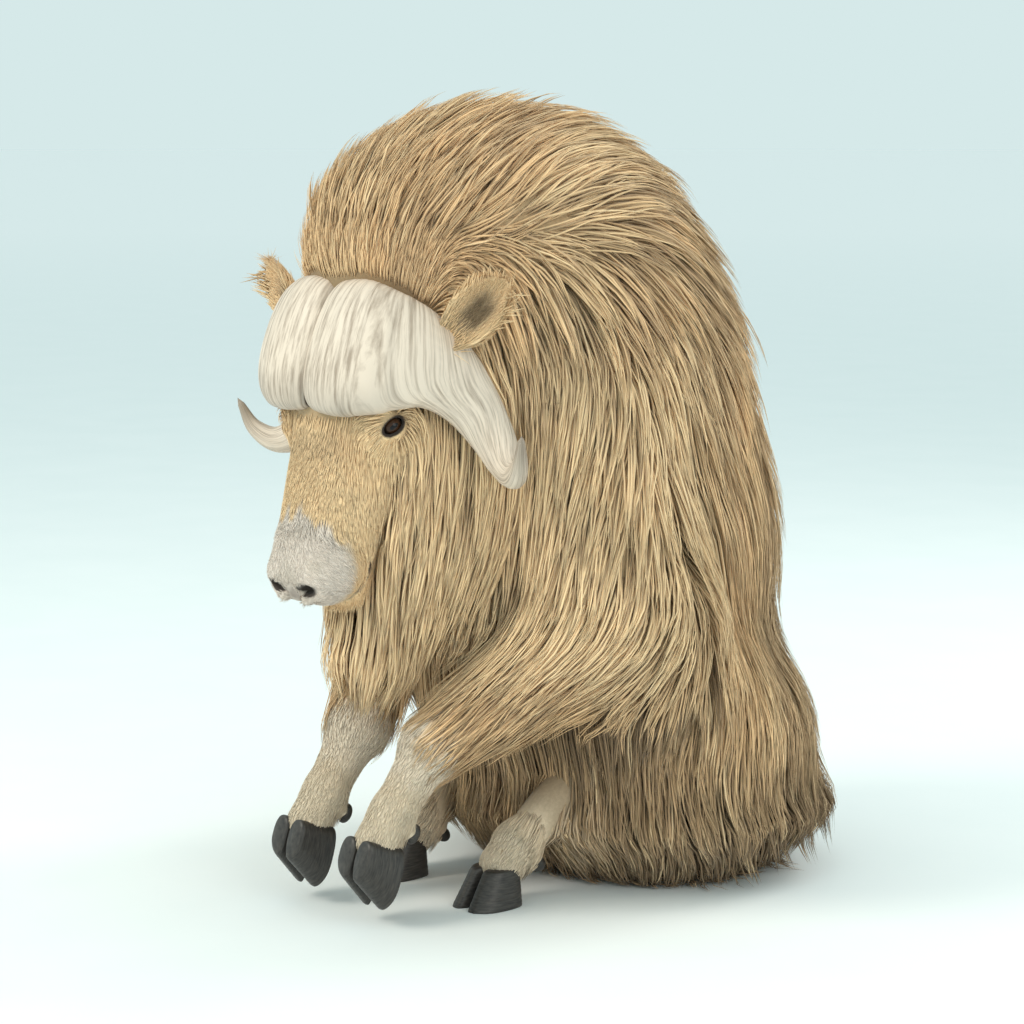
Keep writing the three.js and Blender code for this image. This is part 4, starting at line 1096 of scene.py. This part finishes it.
# ================================================================ materials
def fur_material(name, scale, strength, fibres=False):
    m, nt, p = material(name, rough=0.66, specular=0.16)
    at = node(nt, "ShaderNodeAttribute", attribute_name="tint")
    nz = node(nt, "ShaderNodeTexNoise", Scale=scale, Detail=3.0, Roughness=0.6)
    co = node(nt, "ShaderNodeTexCoord")
    nt.links.new(co.outputs["Object"], nz.inputs["Vector"])
    rp = node(nt, "ShaderNodeMapRange")
    rp.inputs["To Min"].default_value, rp.inputs["To Max"].default_value = 1 - strength, 1 + strength
    nt.links.new(nz.outputs["Fac"], rp.inputs["Value"])
    mul = node(nt, "ShaderNodeVectorMath", operation="SCALE")
    nt.links.new(at.outputs["Color"], mul.inputs[0])
    nt.links.new(rp.outputs[0], mul.inputs["Scale"])
    if fibres:  # each lock is many hairs
        fb = node(nt, "ShaderNodeAttribute", attribute_name="fibre")
        fn = node(nt, "ShaderNodeTexNoise", Scale=1.0, Detail=2.0, Roughness=0.55)
        nt.links.new(fb.outputs["Vector"], fn.inputs["Vector"])
        fr_ = node(nt, "ShaderNodeMapRange")
        fr_.inputs["From Min"].default_value, fr_.inputs["From Max"].default_value = 0.30, 0.70
        fr_.inputs["To Min"].default_value, fr_.inputs["To Max"].default_value = 0.76, 1.20
        nt.links.new(fn.outputs["Fac"], fr_.inputs["Value"])
        both_ = node(nt, "ShaderNodeMath", operation="MULTIPLY")
        nt.links.new(rp.outputs[0], both_.inputs[0])
        nt.links.new(fr_.outputs[0], both_.inputs[1])
        nt.links.new(both_.outputs[0], mul.inputs["Scale"])
        fbump = node(nt, "ShaderNodeBump", Strength=0.35, Distance=0.0006)
        nt.links.new(fn.outputs["Fac"], fbump.inputs["Height"])
        nt.links.new(fbump.outputs[0], p.inputs["Normal"])
    nt.links.new(mul.outputs[0], p.inputs["Base Color"])
    p.inputs["Sheen Weight"].default_value = 0.08
    p.inputs["Sheen Roughness"].default_value = 0.5
    return m, nt, p


coat_mat, _, _ = fur_material("coat_hair", 38.0, 0.14, fibres=True)
skin_mat, nt, pr = fur_material("skin_short_hair", 160.0, 0.22)
nz = node(nt, "ShaderNodeTexNoise", Scale=420.0, Detail=4.0, Roughness=0.65)
co = node(nt, "ShaderNodeTexCoord")
nt.links.new(co.outputs["Object"], nz.inputs["Vector"])
bm = node(nt, "ShaderNodeBump", Strength=0.5, Distance=0.0015)
nt.links.new(nz.outputs["Fac"], bm.inputs["Height"])
nt.links.new(bm.outputs[0], pr.inputs["Normal"])

horn_mat, nt, pr = material("horn_fibres", rough=0.48, specular=0.4)
at = node(nt, "ShaderNodeAttribute", attribute_name="grain")
nz = node(nt, "ShaderNodeTexNoise", Scale=1.0, Detail=5.0, Roughness=0.62)
nt.links.new(at.outputs["Vector"], nz.inputs["Vector"])
rp = node(nt, "ShaderNodeValToRGB")
el = rp.color_ramp.elements
el[0].position, el[0].color = 0.34, (*srgb(170, 153, 137), 1)
el[1].position, el[1].color = 0.56, (*srgb(229, 213, 197), 1)
nt.links.new(nz.outputs["Fac"], rp.inputs["Fac"])
tn = node(nt, "ShaderNodeAttribute", attribute_name="tint")
mul = node(nt, "ShaderNodeVectorMath", operation="MULTIPLY")
nt.links.new(rp.outputs[0], mul.inputs[0])
nt.links.new(tn.outputs["Color"], mul.inputs[1])
nt.links.new(mul.outputs[0], pr.inputs["Base Color"])
bm = node(nt, "ShaderNodeBump", Strength=0.55, Distance=0.0022)
nt.links.new(nz.outputs["Fac"], bm.inputs["Height"])
nt.links.new(bm.outputs[0], pr.inputs["Normal"])

hoof_mat, nt, pr = material("hoof_wall", rough=0.42, specular=0.45)
at = node(nt, "ShaderNodeAttribute", attribute_name="grain")
nz = node(nt, "ShaderNodeTexNoise", Scale=1.0, Detail=4.0, Roughness=0.6)
nt.links.new(at.outputs["Vector"], nz.inputs["Vector"])
rp = node(nt, "ShaderNodeValToRGB")
el = rp.color_ramp.elements
el[0].position, el[0].color = 0.30, (*srgb(34, 31, 30), 1)
el[1].position, el[1].color = 0.72, (*srgb(74, 69, 64), 1)
nt.links.new(nz.outputs["Fac"], rp.inputs["Fac"])
nt.links.new(rp.outputs[0], pr.inputs["Base Color"])
bm = node(nt, "ShaderNodeBump", Strength=0.4, Distance=0.001)
nt.links.new(nz.outputs["Fac"], bm.inputs["Height"])
nt.links.new(bm.outputs[0], pr.inputs["Normal"])

eye_mat, nt, pr = material("eyeball", rough=0.22, specular=0.10, coat=0.34)
pr.inputs["Coat Roughness"].default_value = 0.02
at = node(nt, "ShaderNodeAttribute", attribute_name="look")
sep = node(nt, "ShaderNodeSeparateXYZ")
nt.links.new(at.outputs["Vector"], sep.inputs[0])


def calc(op, a_, b_=None):
    n_ = node(nt, "ShaderNodeMath", operation=op)
    for i, v_ in enumerate((a_, b_)):
        if v_ is None:
            continue
        if isinstance(v_, (int, float)):
            n_.inputs[i].default_value = v_
        else:
            nt.links.new(v_, n_.inputs[i])
    return n_.outputs[0]


r_iris = calc("SQRT", calc("ADD", calc("MULTIPLY", sep.outputs[0], sep.outputs[0]), calc("MULTIPLY", sep.outputs[1], sep.outputs[1])))
slot_a, slot_b = calc("DIVIDE", sep.outputs[0], 0.40), calc("DIVIDE", sep.outputs[1], 0.17)
pupil = calc("SQRT", calc("ADD", calc("POWER", calc("ABSOLUTE", slot_a), 3.0), calc("POWER", calc("ABSOLUTE", slot_b), 3.0)))
nz = node(nt, "ShaderNodeTexNoise", Scale=9.0, Detail=3.0)
nt.links.new(at.outputs["Vector"], nz.inputs["Vector"])
iris = node(nt, "ShaderNodeValToRGB")
iris.color_ramp.elements[0].color = (*srgb(44, 27, 16), 1)
iris.color_ramp.elements[1].color = (*srgb(70, 43, 24), 1)
nt.links.new(nz.outputs["Fac"], iris.inputs["Fac"])
m1 = node(nt, "ShaderNodeMix", data_type="RGBA")
rim_ = node(nt, "ShaderNodeMapRange")
rim_.inputs["From Min"].default_value, rim_.inputs["From Max"].default_value = 0.60, 0.70
nt.links.new(r_iris, rim_.inputs["Value"])
nt.links.new(rim_.outputs[0], m1.inputs[0])
nt.links.new(iris.outputs[0], m1.inputs[6])
m1.inputs[7].default_value = (*srgb(40, 30, 24), 1)
m2 = node(nt, "ShaderNodeMix", data_type="RGBA")
pp = node(nt, "ShaderNodeMapRange")
pp.inputs["From Min"].default_value, pp.inputs["From Max"].default_value = 0.85, 1.1
nt.links.new(pupil, pp.inputs["Value"])
nt.links.new(pp.outputs[0], m2.inputs[0])
m2.inputs[6].default_value = (0.004, 0.004, 0.006, 1)
nt.links.new(m1.outputs[2], m2.inputs[7])
nt.links.new(m2.outputs[2], pr.inputs["Base Color"])


# ================================================================ objects
def decimated(o, ratio):
    md = o.modifiers.new("fewer", "DECIMATE")
    md.ratio = ratio
    ev = o.evaluated_get(bpy.context.evaluated_depsgraph_get())
    me = ev.to_mesh()
    v = np.empty(len(me.vertices) * 3, np.float32)
    me.vertices.foreach_get("co", v)
    me.calc_loop_triangles()
    f = np.empty(len(me.loop_triangles) * 3, np.int32)
    me.loop_triangles.foreach_get("vertices", f)
    ev.to_mesh_clear()
    old = o.data
    bpy.data.objects.remove(o)
    bpy.data.meshes.remove(old)
    return v.reshape(-1, 3).astype(float), f.reshape(-1, 3)


sv, sf = decimated(mesh_object("skin_fine", SKV, SKQ), 165000 / (2 * len(SKQ)))
b, gr = slope_of(skin, sv, 0.001)
sn = unit(gr)
W, g = shares(sv)
tint = markings_and_painted_light(sv, sn, W)
L = lengths(sv, sn, W)
# painted shade: the skin is darker where long coat covers it, and darker still close to the horns, where shade falls
# between the locks and under the horns' edge
tint = tint * (1 - 0.30 * ramp(L, 0.03, 0.10))[:, None]
horn_gap_shaded = np.where((sv[:, 2] > 0.80) & (sv[:, 1] < -0.36), horn(sv), 1.0)
tint = tint * (1 - 0.46 * ramp(horn_gap_shaded, 0.024, 0.002))[:, None]
nb, naked = bare(sv)
tint = mix(within(tint) * 0.92, nb, naked)
skin_o = mesh_object("skin", sv, sf, attributes={"tint": ("FLOAT_COLOR", np.c_[tint, np.ones(len(tint))])}, mat=skin_mat)
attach(skin_o, "root")
flesh = ["head", "lower_jaw", "throat_mane", "neck", "hump", "barrel", "rump", "tail"]
flesh += [f"{k}_{s}" for k in ("ear", "foreleg_upper", "foreleg_shin", "hindleg_thigh", "hindleg_shin") for s in ("left", "right")]
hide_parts(*flesh)

for nm, parts in PIECES.items():
    vs, cs, uvs, qs, ts, fs_, base_ = [], [], [], [], [], [], 0
    for V_, col, uv, quad, tri, per, fib in parts:
        off = base_ + np.arange(len(V_))[:, None, None] * per
        qs.append((quad[None] + off).reshape(-1, 4))
        ts.append((tri[None] + off).reshape(-1, 3))
        vs.append(V_.reshape(-1, 3))
        cs.append(col.reshape(-1, 3))
        uvs.append(uv.reshape(-1, 2))
        fs_.append(fib.reshape(-1, 3))
        base_ += len(V_) * per
    v, c, uv, q, tr, fb = (np.concatenate(z) for z in (vs, cs, uvs, qs, ts, fs_))
    o = mesh_object("coat_" + nm, v, [q, tr], attributes={"tint": ("FLOAT_COLOR", np.c_[within(c), np.ones(len(c))]), "fibre": ("FLOAT_VECTOR", fb)}, mat=coat_mat)
    bake_map(o.data, np.clip(uv, 0.001, 0.999))
    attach(o, "root")
    count = 2 * len(q) + len(tr)
    print("coat_" + nm, count)


def loft(rings, close_a=None, close_b=None):
    """Rings (k, m, 3) of one turn each, closed with a fan at both ends."""
    k, m_ = rings.shape[:2]
    v = np.concatenate([rings.reshape(-1, 3), [rings[0].mean(0) if close_a is None else close_a], [rings[-1].mean(0) if close_b is None else close_b]])
    i, j = np.meshgrid(np.arange(k - 1), np.arange(m_), indexing="ij")
    a_, b_ = i * m_ + j, i * m_ + (j + 1) % m_
    q = np.stack([a_, b_, b_ + m_, a_ + m_], -1).reshape(-1, 4)
    j = np.arange(m_)
    t1 = np.stack([(j + 1) % m_, j, np.full(m_, k * m_)], -1)
    t2 = np.stack([(k - 1) * m_ + j, (k - 1) * m_ + (j + 1) % m_, np.full(m_, k * m_ + 1)], -1)
    tri = np.concatenate([t1, t2])
    a3, b3, c3 = (v[q[:, s]] for s in (0, 1, 2))
    vol = (np.cross(a3, b3) * c3).sum() * 2 + (np.cross(v[tri[:, 0]], v[tri[:, 1]]) * v[tri[:, 2]]).sum()
    if vol < 0:
        q, tri = q[:, ::-1], tri[:, ::-1]
    return v, q, tri


def smooth_rows(R, n_):
    """Catmull-Rom through the rows."""
    s = np.r_[0, np.cumsum(np.linalg.norm(np.diff(R[:, :3], axis=0), axis=1) ** 0.5)]
    s /= s[-1]
    tt = np.interp(np.linspace(0, 1, n_), np.linspace(0, 1, len(s)), s)
    M_ = np.gradient(R, s, axis=0)
    i = np.clip(np.searchsorted(s, tt, side="right") - 1, 0, len(s) - 2)
    h = (s[i + 1] - s[i])[:, None]
    x = ((tt - s[i])[:, None]) / h
    return (2 * x**3 - 3 * x**2 + 1) * R[i] + (x**3 - 2 * x**2 + x) * h * M_[i] + (-2 * x**3 + 3 * x**2) * R[i + 1] + (x**3 - x**2) * h * M_[i + 1]


def joined(name, shells, mat, replaced, smooth=True):
    vs, qs, ts, ats, base_ = [], [], [], {}, 0
    for v, q, tri, at_ in shells:
        vs.append(v)
        qs.append(q + base_)
        ts.append(tri + base_)
        for k_, (kd, d_) in at_.items():
            ats.setdefault(k_, (kd, []))[1].append(d_)
        base_ += len(v)
    o = mesh_object(name, np.concatenate(vs), [np.concatenate(qs), np.concatenate(ts)], attributes={k_: (kd, np.concatenate(d_)) for k_, (kd, d_) in ats.items()}, mat=mat, smooth=smooth)
    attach(o, "root")
    if replaced:
        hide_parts(*replaced)
    return o


# ---- horns
ROWS = smooth_rows(HORN, 110)
sides = 84
ang = 2 * pi * np.arange(sides) / sides
rings, grain, horn_colour_and_painted_shade = [], [], []
length_ = np.r_[0, np.cumsum(np.linalg.norm(np.diff(ROWS[:, :3], axis=0), axis=1))]
Tn = unit(np.gradient(ROWS[:, :3], axis=0))
Tn[0] = (1, 0, 0)
bend0, bend1 = (float(np.interp(x_, ROWS[:60, 0], length_[:60])) for x_ in (112, 205))
round_it = np.abs((ang + pi) % (2 * pi) - pi) / pi  # 0 on the edge towards the nose, 1 on the edge towards the poll
for k_, (row, T) in enumerate(zip(ROWS, Tn)):
    broad = unit(np.array([0, 1.0, 0]) - T[1] * T)
    thick = np.cross(T, broad)
    c_, s_ = np.cos(ang), np.sin(ang)
    cc, ss = np.sign(c_) * np.abs(c_) ** 0.86, np.sign(s_) * np.abs(s_) ** 0.86
    on = ramp(row[0], 112, 172)  # 0 on the boss, 1 on the shaft
    line_ = min(length_[k_], bend0) + (bend1 - bend0) * round_it * float(ramp(length_[k_], bend0, bend1))
    ga = np.stack([line_ / 4.2, cc * row[3] / 62 * (1 - on) + length_[k_] / 85, np.full(sides, 3.7)], -1)
    ridge = noise(ga * np.array([0.8, 1, 1]), 41) * 0.9 + noise(ga * np.array([1.7, 1.4, 1]), 42) * 0.5
    dent = -1.0 - 0.9 * ridge * np.clip(row[4] / 30, 0.2, 1)
    dent = dent - 2.2 * np.exp(-(((length_[k_]) / 10) ** 2))
    rings.append(row[:3] + (row[3] + dent)[:, None] * cc[:, None] * broad + (row[4] + dent)[:, None] * ss[:, None] * thick)
    grain.append(ga)
    # painted shade: the lower edge of the boss, one side of the shaft and the cleft where the two bosses meet are
    # darkened; the darker tips are the horn's own colour
    low_edge_painted_shade = ramp(cc * row[3] + row[1], 130, 190) * (1 - on)
    tone = 1 - 0.16 * np.clip(-ridge, 0, 1) - 0.20 * low_edge_painted_shade - 0.14 * on * (ss < 0) - 0.55 * np.exp(-((length_[k_] / 7) ** 2))
    tipc = ramp(k_ / 109, 0.86, 0.99)
    base_c = np.array([1.0, 0.99, 0.97])[None] * tone[:, None]
    horn_colour_and_painted_shade.append(base_c * (1 - 0.45 * tipc * np.array([0.9, 0.95, 1.0])))
rings, grain, horn_colour_and_painted_shade = (np.array(z_) for z_ in (rings, grain, horn_colour_and_painted_shade))
tip = rings[-1].mean(0) + Tn[-1] * 13
shells = []
for sgn in (1, -1):
    R = POLL + HS * (rings * np.array([sgn, 1, 1])) @ HAX
    tp = POLL + HS * (tip * np.array([sgn, 1, 1])) @ HAX
    v, q, tri = loft(R, close_b=tp)
    gr_ = np.concatenate([grain.reshape(-1, 3), grain[0].mean(0)[None], grain[-1].mean(0)[None]]) + (0 if sgn > 0 else 17)
    sh = np.concatenate([horn_colour_and_painted_shade.reshape(-1, 3), horn_colour_and_painted_shade[0].mean(0)[None], horn_colour_and_painted_shade[-1].mean(0)[None]])
    shells.append((v, q, tri, {"grain": ("FLOAT_VECTOR", gr_), "tint": ("FLOAT_COLOR", np.c_[sh, np.ones(len(sh))])}))
joined("horns", shells, horn_mat, ["horn_left", "horn_right"])

# ---- hooves
HOOF = dict(length=0.118, width=0.056, height=0.066, cleft=0.0022, lean=0.36)
DROOP = math.radians(72)
FEET = [
    (np.array([0.136, -0.284, 0.0]), np.array([0, -1.0, 0]), np.array([0, 0, 1.0]), 0.94),
    (np.array([0.100, -0.524, 0.102]) + 0.026 * np.array([0, math.sin(DROOP), -math.cos(DROOP)]), np.array([0, -math.cos(DROOP), -math.sin(DROOP)]), np.array([0, -math.sin(DROOP), math.cos(DROOP)]), 0.98)]


def claw(outward, o_, toe, up_, size, side):
    m_ = 64
    an = 2 * pi * np.arange(m_) / m_
    c_, s_ = np.cos(an), np.sin(an)
    rows = [(0.035, 0.55), (0.012, 0.80), (0.0, 0.93), (0.012, 0.975), (0.04, 0.99)] + [(h_, 0.995) for h_ in np.linspace(0.08, 1.02, 30)] + [(1.07, 0.97), (1.10, 0.90), (1.12, 0.78)]
    rings_, gr_ = [], []
    for h_, sc in rows:
        long_ = HOOF["length"] * size * (0.66 + 0.34 * (1 - h_))
        wide = HOOF["width"] * size * (0.78 + 0.22 * (1 - h_))
        forward = HOOF["lean"] * HOOF["height"] * (1 - h_) * size
        al = (long_ / 2) * np.sign(c_) * np.abs(c_) ** 0.85 + forward - 0.1 * long_
        ac = wide * (0.5 + 0.5 * np.sign(s_) * np.abs(s_) ** 0.7 * (1 - 0.28 * np.maximum(c_, 0) ** 2))
        pinch = 0.16 * wide * np.maximum(c_, 0) ** 3
        ring_dent = 0.00022 * (np.sin(h_ * 52 + 1.5 * np.sin(c_ * 2 + outward) + 2 * np.sin(h_ * 9)) - 1) * (sc > 0.98)
        mid_al, mid_ac = forward - 0.1 * long_, HOOF["cleft"] + wide * 0.5
        al = mid_al + (al - mid_al) * sc + ring_dent * c_
        ac = mid_ac + (HOOF["cleft"] + ac - pinch - mid_ac) * sc + ring_dent * s_
        rings_.append(o_ + al[:, None] * toe + (ac * outward)[:, None] * X + h_ * HOOF["height"] * size * up_)
        gr_.append(np.stack([np.full(m_, h_ * 26.0), c_ * 2.2, s_ * 2.2 + outward * 5], -1))
    rings_, gr_ = np.array(rings_), np.array(gr_)
    if side < 0:
        rings_[..., 0] *= -1
        gr_ = gr_ + 11
    v, q, tri = loft(rings_)
    gr_ = np.concatenate([gr_.reshape(-1, 3), gr_[0].mean(0)[None], gr_[-1].mean(0)[None]])
    return v, q, tri, {"grain": ("FLOAT_VECTOR", gr_)}


def dew(at_, tilt, s_, side):
    m_, k2 = 32, 18
    rings_, gr_ = [], []
    for k_ in range(1, k2):
        th = pi * k_ / k2
        an = 2 * pi * np.arange(m_) / m_
        r_ = np.sin(th) * (1 - 0.012 * (1 + np.sin(th * 22)))
        pt = np.stack([0.011 * r_ * np.cos(an), 0.014 * r_ * np.sin(an), np.full(m_, 0.019 * np.cos(th))], -1) * 0.985
        rings_.append(pt)
        gr_.append(np.stack([np.full(m_, th * 8), np.cos(an), np.sin(an)], -1))
    rings_ = np.array(rings_)
    c_, s2 = math.cos(tilt), math.sin(tilt)
    rot = np.array([[1, 0, 0], [0, c_, -s2], [0, s2, c_]])
    rings_ = rings_ @ rot.T + np.array(at_) + s_ * 0.022 * X
    ends = [np.array([0, 0, 0.0187]) @ rot.T + at_ + s_ * 0.022 * X, np.array([0, 0, -0.0187]) @ rot.T + at_ + s_ * 0.022 * X]
    if side < 0:
        rings_[..., 0] *= -1
        ends = [e_ * np.array([-1, 1, 1]) for e_ in ends]
    v, q, tri = loft(rings_, ends[0], ends[1])
    gr_ = np.array(gr_)
    return v, q, tri, {"grain": ("FLOAT_VECTOR", np.concatenate([gr_.reshape(-1, 3), gr_[0].mean(0)[None], gr_[-1].mean(0)[None]]))}


for nm, foot in (("hind", FEET[0]), ("fore", FEET[1])):
    for side, sd in ((1, "left"), (-1, "right")):
        shells = [claw(out, *foot, side) for out in (1, -1)]
        joined(f"{nm}hooves_{sd}", shells, hoof_mat, [f"{nm}hoof_outer_{sd}", f"{nm}hoof_inner_{sd}"])
        at_, tilt = ((0.138, -0.193, 0.066), 0.9) if nm == "hind" else ((0.100, -0.449, 0.154), -0.5)
        shells = [dew(at_, tilt, s_, side) for s_ in (1, -1)]
        joined(f"{nm}_dewclaws_{sd}", shells, hoof_mat, [f"{nm}_dewclaw_outer_{sd}", f"{nm}_dewclaw_inner_{sd}"])

# ---- eyes
for side, sd in ((1, "left"), (-1, "right")):
    m_, k2 = 56, 40
    rings_, look = [], []
    for k_ in range(1, k2):
        th = pi * k_ / k2
        an = 2 * pi * np.arange(m_) / m_
        bulge = 1 + 0.045 * math.exp(-((th / 0.45) ** 4))
        loc = np.stack([np.sin(th) * np.cos(an), np.sin(th) * np.sin(an), np.full(m_, np.cos(th))], -1)
        look.append(loc)
        rings_.append(EYE + (EYE_R - 0.0009) * bulge * (loc[:, :1] * LID_A + loc[:, 1:2] * LID_B + loc[:, 2:] * GAZE))
    rings_ = np.array(rings_)
    ends = [EYE + (EYE_R - 0.0009) * 1.045 * GAZE, EYE - (EYE_R - 0.0009) * GAZE]
    if side < 0:
        rings_[..., 0] *= -1
        ends = [e_ * np.array([-1, 1, 1]) for e_ in ends]
    v, q, tri = loft(rings_, ends[0], ends[1])
    look = np.concatenate([np.array(look).reshape(-1, 3), [[0, 0, 1]], [[0, 0, -1]]])
    joined(f"eyeball_{sd}", [(v, q, tri, {"look": ("FLOAT_VECTOR", look)})], eye_mat, [f"eye_{sd}"])

# ---- floor
fm, nt, pr = material("floor", rough=0.85, specular=0.15)
nz = node(nt, "ShaderNodeTexNoise", Scale=3.0, Detail=4.0)
co = node(nt, "ShaderNodeTexCoord")
nt.links.new(co.outputs["Object"], nz.inputs["Vector"])
rp = node(nt, "ShaderNodeValToRGB")
rp.color_ramp.elements[0].color = (*srgb(240, 245, 245), 1)
rp.color_ramp.elements[1].color = (*srgb(247, 250, 250), 1)
nt.links.new(nz.outputs["Fac"], rp.inputs["Fac"])
far_ = node(nt, "ShaderNodeVectorMath", operation="LENGTH")
nt.links.new(co.outputs["Object"], far_.inputs[0])
fade = node(nt, "ShaderNodeMapRange")
fade.inputs["From Min"].default_value, fade.inputs["From Max"].default_value = 4.0, 28.0
nt.links.new(far_.outputs["Value"], fade.inputs["Value"])
to_far = node(nt, "ShaderNodeMix", data_type="RGBA")
nt.links.new(fade.outputs[0], to_far.inputs[0])
nt.links.new(rp.outputs[0], to_far.inputs[6])
to_far.inputs[7].default_value = (1, 1, 1, 1)
nt.links.new(to_far.outputs[2], pr.inputs["Base Color"])
rim_a = 2 * pi * np.arange(96) / 96
disc = np.concatenate([[[0, 0, 0]], np.stack([90 * np.cos(rim_a), 90 * np.sin(rim_a), 0 * rim_a], -1)])
fan = np.stack([np.zeros(96, int), 1 + np.arange(96), 1 + (np.arange(96) + 1) % 96], -1)
fl = mesh_object("floor", disc, fan, mat=fm)

bpy.context.view_layer.update()
